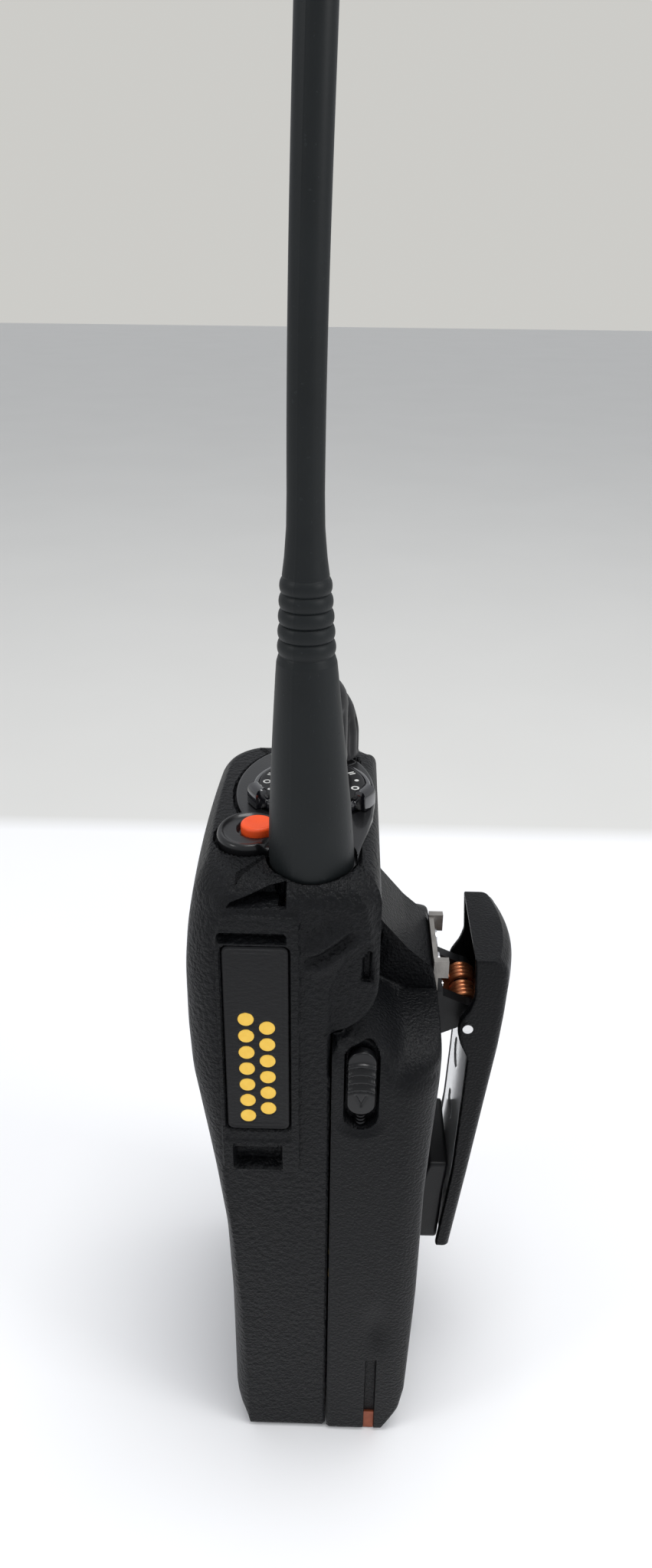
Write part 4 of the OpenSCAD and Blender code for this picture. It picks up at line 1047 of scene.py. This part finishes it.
chrome_low, chrome_high = box_mm("clip_plate")
tip_half = box_mm("clip_tip")[1, 0]
chrome_finish = Finish("bright_chrome")
chrome_cloud = chrome_finish.place.noise(90, 3)
chrome_finish.feed(
    Base_Color=chrome_cloud.blend((0.90, 0.92, 0.93), (0.97, 0.98, 0.99)),
    Metallic=0.42 + 0.1 * chrome_cloud,
    Roughness=0.12 + 0.1 * chrome_cloud,
)
chrome_line = [(chrome_low[2], 23.7), (61.3, 24.4), (75.5, 24.9), (90, 25.3), (chrome_high[2], 25.9)]
skin("chromed_liner", plate_rows_at(chrome_line, 0.5, chrome_high[0] - 0.05, ((67.5, 3), (81.5, 3))), "belt_clip",
    chrome_finish, ["clip_plate"], crease=45)

tip_finish = Finish("tip_rubber", Specular_IOR_Level=0.3)
tip_cloud = tip_finish.place.noise(300, 3)
tip_finish.feed(
    Base_Color=tip_cloud.blend((0.003, 0.003, 0.0035), (0.007, 0.007, 0.008)),
    Roughness=0.32 + 0.2 * tip_cloud,
    Normal=tip_finish.place.noise(2600, 2).bump(0.00003),
)
tip_corners = [(17.95, 38.05), (22.75, 38.05), (23.35, 51.9), (24.05, 59.95), (19.8, 59.95), (18.15, 54.1)]
tip_side = even(np.array(tip_corners), 200)
for _ in range(8):
    tip_side = (np.roll(tip_side, 1, 0) + 2 * tip_side + np.roll(tip_side, -1, 0)) / 4
tip_rows = slab_rows(tip_side, [(0.5, -tip_half), (0.12, 0.4 - tip_half), (0, 0.9 - tip_half),
    (0, tip_half - 0.9), (0.12, tip_half - 0.4), (0.5, tip_half)], [(20.4, 41), (21.8, 57)], fill=6)
skin("soft_tip", to_right(tip_rows), "belt_clip", tip_finish, ["clip_tip"], crease=50)


# ------------------------------------------------------------ buttons and keys
# Soft rubber caps that stand in the sunken wells of the case and are pressed straight in: the long push-to-talk
# bar with three grip ribs, two round side keys with a bar, three front keys and a rounded rocker.

ptt_face, side_key_face = (-box_mm(node)[0, 0] for node in ("ptt_button", "upper_side_key"))
button_finish = Finish("button_rubber", Specular_IOR_Level=0.3)
button_cloud = button_finish.place.noise(240, 3)
button_finish.feed(
    Base_Color=button_cloud.blend((0.009, 0.009, 0.010), (0.020, 0.0205, 0.022)),
    Roughness=0.4 + 0.18 * button_cloud,
    Normal=button_finish.place.noise(2600, 2).bump(0.00003),
)


def cap(name, low, high, r, face, placed, body, relief, deep=1.0, domed=0.0):
    """A key's cap on its own body: a round-cornered slab with eased edges, its face at that distance out."""
    low, high = np.array(low) + 0.04, np.array(high) - 0.04
    middle, half = (low + high) / 2, (high - low) / 2
    reach = np.maximum(half - min(half), 0)
    rows = slab_rows(round_box(low, high, r, 12), [(0.1, -deep), (0, 0.1 - deep), (0, -0.42), (0.08, -0.2),
        (0.24, -0.06), (0.45, 0)], [middle - reach, middle + reach],
        lambda u, v: relief(u - middle[0], v - middle[1]) - domed * (((u - middle[0]) / half[0]) ** 2
            + ((v - middle[1]) / half[1]) ** 2), fill=30)
    rows[..., 2] += face
    skin(name, placed(rows), body, button_finish, [body], crease=55)


cap("talk_bar", ptt_low, ptt_high, 2, ptt_face - 0.35, to_left, "ptt_button",
    lambda u, v: 0.3 * sum(hill(v, at, 0.55) for at in (-6, -3, 0, 3, 6)) * step(3.9, 3.0, np.abs(u)), 1.2, 0.15)
for node, at in zip(("upper_side_key", "lower_side_key"), side_key_at):
    cap(f"{node}_cap", at - 3.4, at + 3.4, 3.3, side_key_face - 0.25, to_left, node,
        lambda u, v: 0.2 * step(0.5, 0.25, np.abs(v)) * step(2.1, 1.8, np.abs(u)), 1.0, 0.12)
for node, (low, high) in zip(front_keys, front_key_box):
    wide = node == "navigation_key"
    cap(f"{node}_cap", low, high, 3.9 if wide else 1.6, -box_mm(node)[0, 1] - 0.12, to_front, node,
        (lambda u, v: 0.14 * (hill(np.abs(u), 6.4, 0.5) * step(1.6, 1.2, np.abs(v)) - hill(np.hypot(u, v), 0, 2.6)))
        if wide else (lambda u, v: -0.12 * hill(np.hypot(u * 0.6, v), 0, 1.5)), 0.9, 0.05)

# -------------------------------------------------------------- what is inside
# The remaining parts keep their CAD shape: boards, cells, switches, screws, springs and seals.
# Each takes its own finish, with a soft cloud in the tint, uneven gloss and a fine surface. The latch springs are
# tinted near black: painted shade, so they read as the dark gap under the sliders.

plain = {
    "lens_clear": ((0.006, 0.008, 0.009), (0.011, 0.013, 0.015), 0.0, 0.08, 60, 0, ("display_lens",)),
    "status_clear": ((0.55, 0.7, 0.55), (0.66, 0.8, 0.64), 0.0, 0.15, 400, 0, ("status_lens",)),
    "screen_mesh": ((0.006, 0.006, 0.007), (0.02, 0.02, 0.021), 0.0, 0.7, 3000, 60, ("speaker_screen",)),
    "speaker_steel": ((0.40, 0.40, 0.42), (0.5, 0.5, 0.52), 0.9, 0.35, 200, 10, ("speaker_frame",)),
    "speaker_film": ((0.10, 0.10, 0.11), (0.15, 0.15, 0.16), 0.0, 0.5, 300, 20, ("speaker_cone",)),
    "mic_can": ((0.55, 0.55, 0.57), (0.65, 0.65, 0.67), 0.9, 0.3, 300, 5, ("microphone",)),
    "cast_metal": ((0.5, 0.51, 0.53), (0.62, 0.63, 0.65), 0.85, 0.45, 140, 40, ("rear_chassis",)),
    "gasket_rubber": ((0.06, 0.13, 0.26), (0.09, 0.17, 0.33), 0.0, 0.55, 160, 15, ("case_gasket",)),
    "screw_steel": ((0.55, 0.55, 0.57), (0.68, 0.68, 0.7), 0.95, 0.28, 500, 8,
        ("chassis_screws", "board_screws", "bracket_screws")),
    "board_green": ((0.01, 0.12, 0.05), (0.02, 0.19, 0.09), 0.0, 0.3, 250, 8,
        ("main_board", "control_board", "battery_board")),
    "shield_tin": ((0.62, 0.63, 0.65), (0.75, 0.76, 0.78), 0.95, 0.3, 120, 12, ("rf_shields",)),
    "connector_resin": ((0.62, 0.6, 0.5), (0.74, 0.71, 0.6), 0.0, 0.5, 260, 10, ("board_connector",)),
    "display_glass": ((0.28, 0.33, 0.28), (0.36, 0.42, 0.36), 0.0, 0.12, 90, 0, ("display_module",)),
    "mat_rubber": ((0.12, 0.12, 0.13), (0.17, 0.17, 0.18), 0.0, 0.6, 180, 20, ("key_mat",)),
    "switch_resin": ((0.04, 0.04, 0.045), (0.07, 0.07, 0.078), 0.0, 0.45, 320, 12,
        ("emergency_switch", "channel_switch", "volume_pot", "side_switches")),
    "bush_brass": ((0.62, 0.45, 0.18), (0.76, 0.58, 0.28), 0.95, 0.3, 400, 8, ("antenna_bush", "antenna_core")),
    "battery_plastic": ((0.012, 0.012, 0.014), (0.022, 0.022, 0.024), 0.0, 0.5, 300, 25, ("battery_cover",)),
    "cell_wrap": ((0.05, 0.13, 0.32), (0.08, 0.19, 0.42), 0.0, 0.25, 80, 6, ("battery_cells",)),
    "contact_gold": ((0.82, 0.52, 0.1), (0.92, 0.66, 0.2), 0.9, 0.3, 700, 5,
        ("battery_contacts", "battery_terminals")),
    "charge_copper": ((0.20, 0.045, 0.02), (0.40, 0.11, 0.05), 0.35, 0.42, 900, 20, ("charging_contacts",)),
    # painted shade: the latch springs are tinted near black so they read as the shaded gap below the sliders, not as
    # bright steel
    "spring_steel": ((0.02, 0.02, 0.02), (0.045, 0.045, 0.048), 0.8, 0.45, 500, 8, ("latch_springs",)),
    "bracket_steel": ((0.19, 0.18, 0.17), (0.42, 0.40, 0.37), 0.75, 0.42, 420, 35, ("clip_bracket",)),
    "clip_plastic": ((0.003, 0.003, 0.0035), (0.008, 0.008, 0.009), 0.0, 0.45, 300, 25, ("clip_base",)),
    "pin_steel": ((0.62, 0.62, 0.63), (0.8, 0.8, 0.8), 0.95, 0.2, 600, 6, ("clip_hinge_pin", "clip_rivets")),
    "spring_copper": ((0.42, 0.13, 0.05), (0.66, 0.27, 0.13), 0.9, 0.3, 800, 12, ("clip_spring",)),
}
for slot_name, (deep_tint, pale_tint, metal, dull, waves, rough_height, nodes) in plain.items():
    finish = Finish(f"{slot_name}_inner", Metallic=metal, Specular_IOR_Level=0.35)
    cloud = finish.place.noise(waves, 3)
    finish.feed(
        Base_Color=cloud.blend(deep_tint, pale_tint),
        Roughness=dull + 0.16 * (cloud - 0.5),
        Normal=finish.place.noise(waves * 6, 2).bump(0.000001 * rough_height + 0.000001),
    )
    for node in nodes:
        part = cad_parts[node]
        part.data.materials.clear()
        part.data.materials.append(finish.material)
        edges = part.modifiers.new("eased_edges", "BEVEL")
        edges.width, edges.segments, edges.limit_method = 0.00006, 2, "ANGLE"
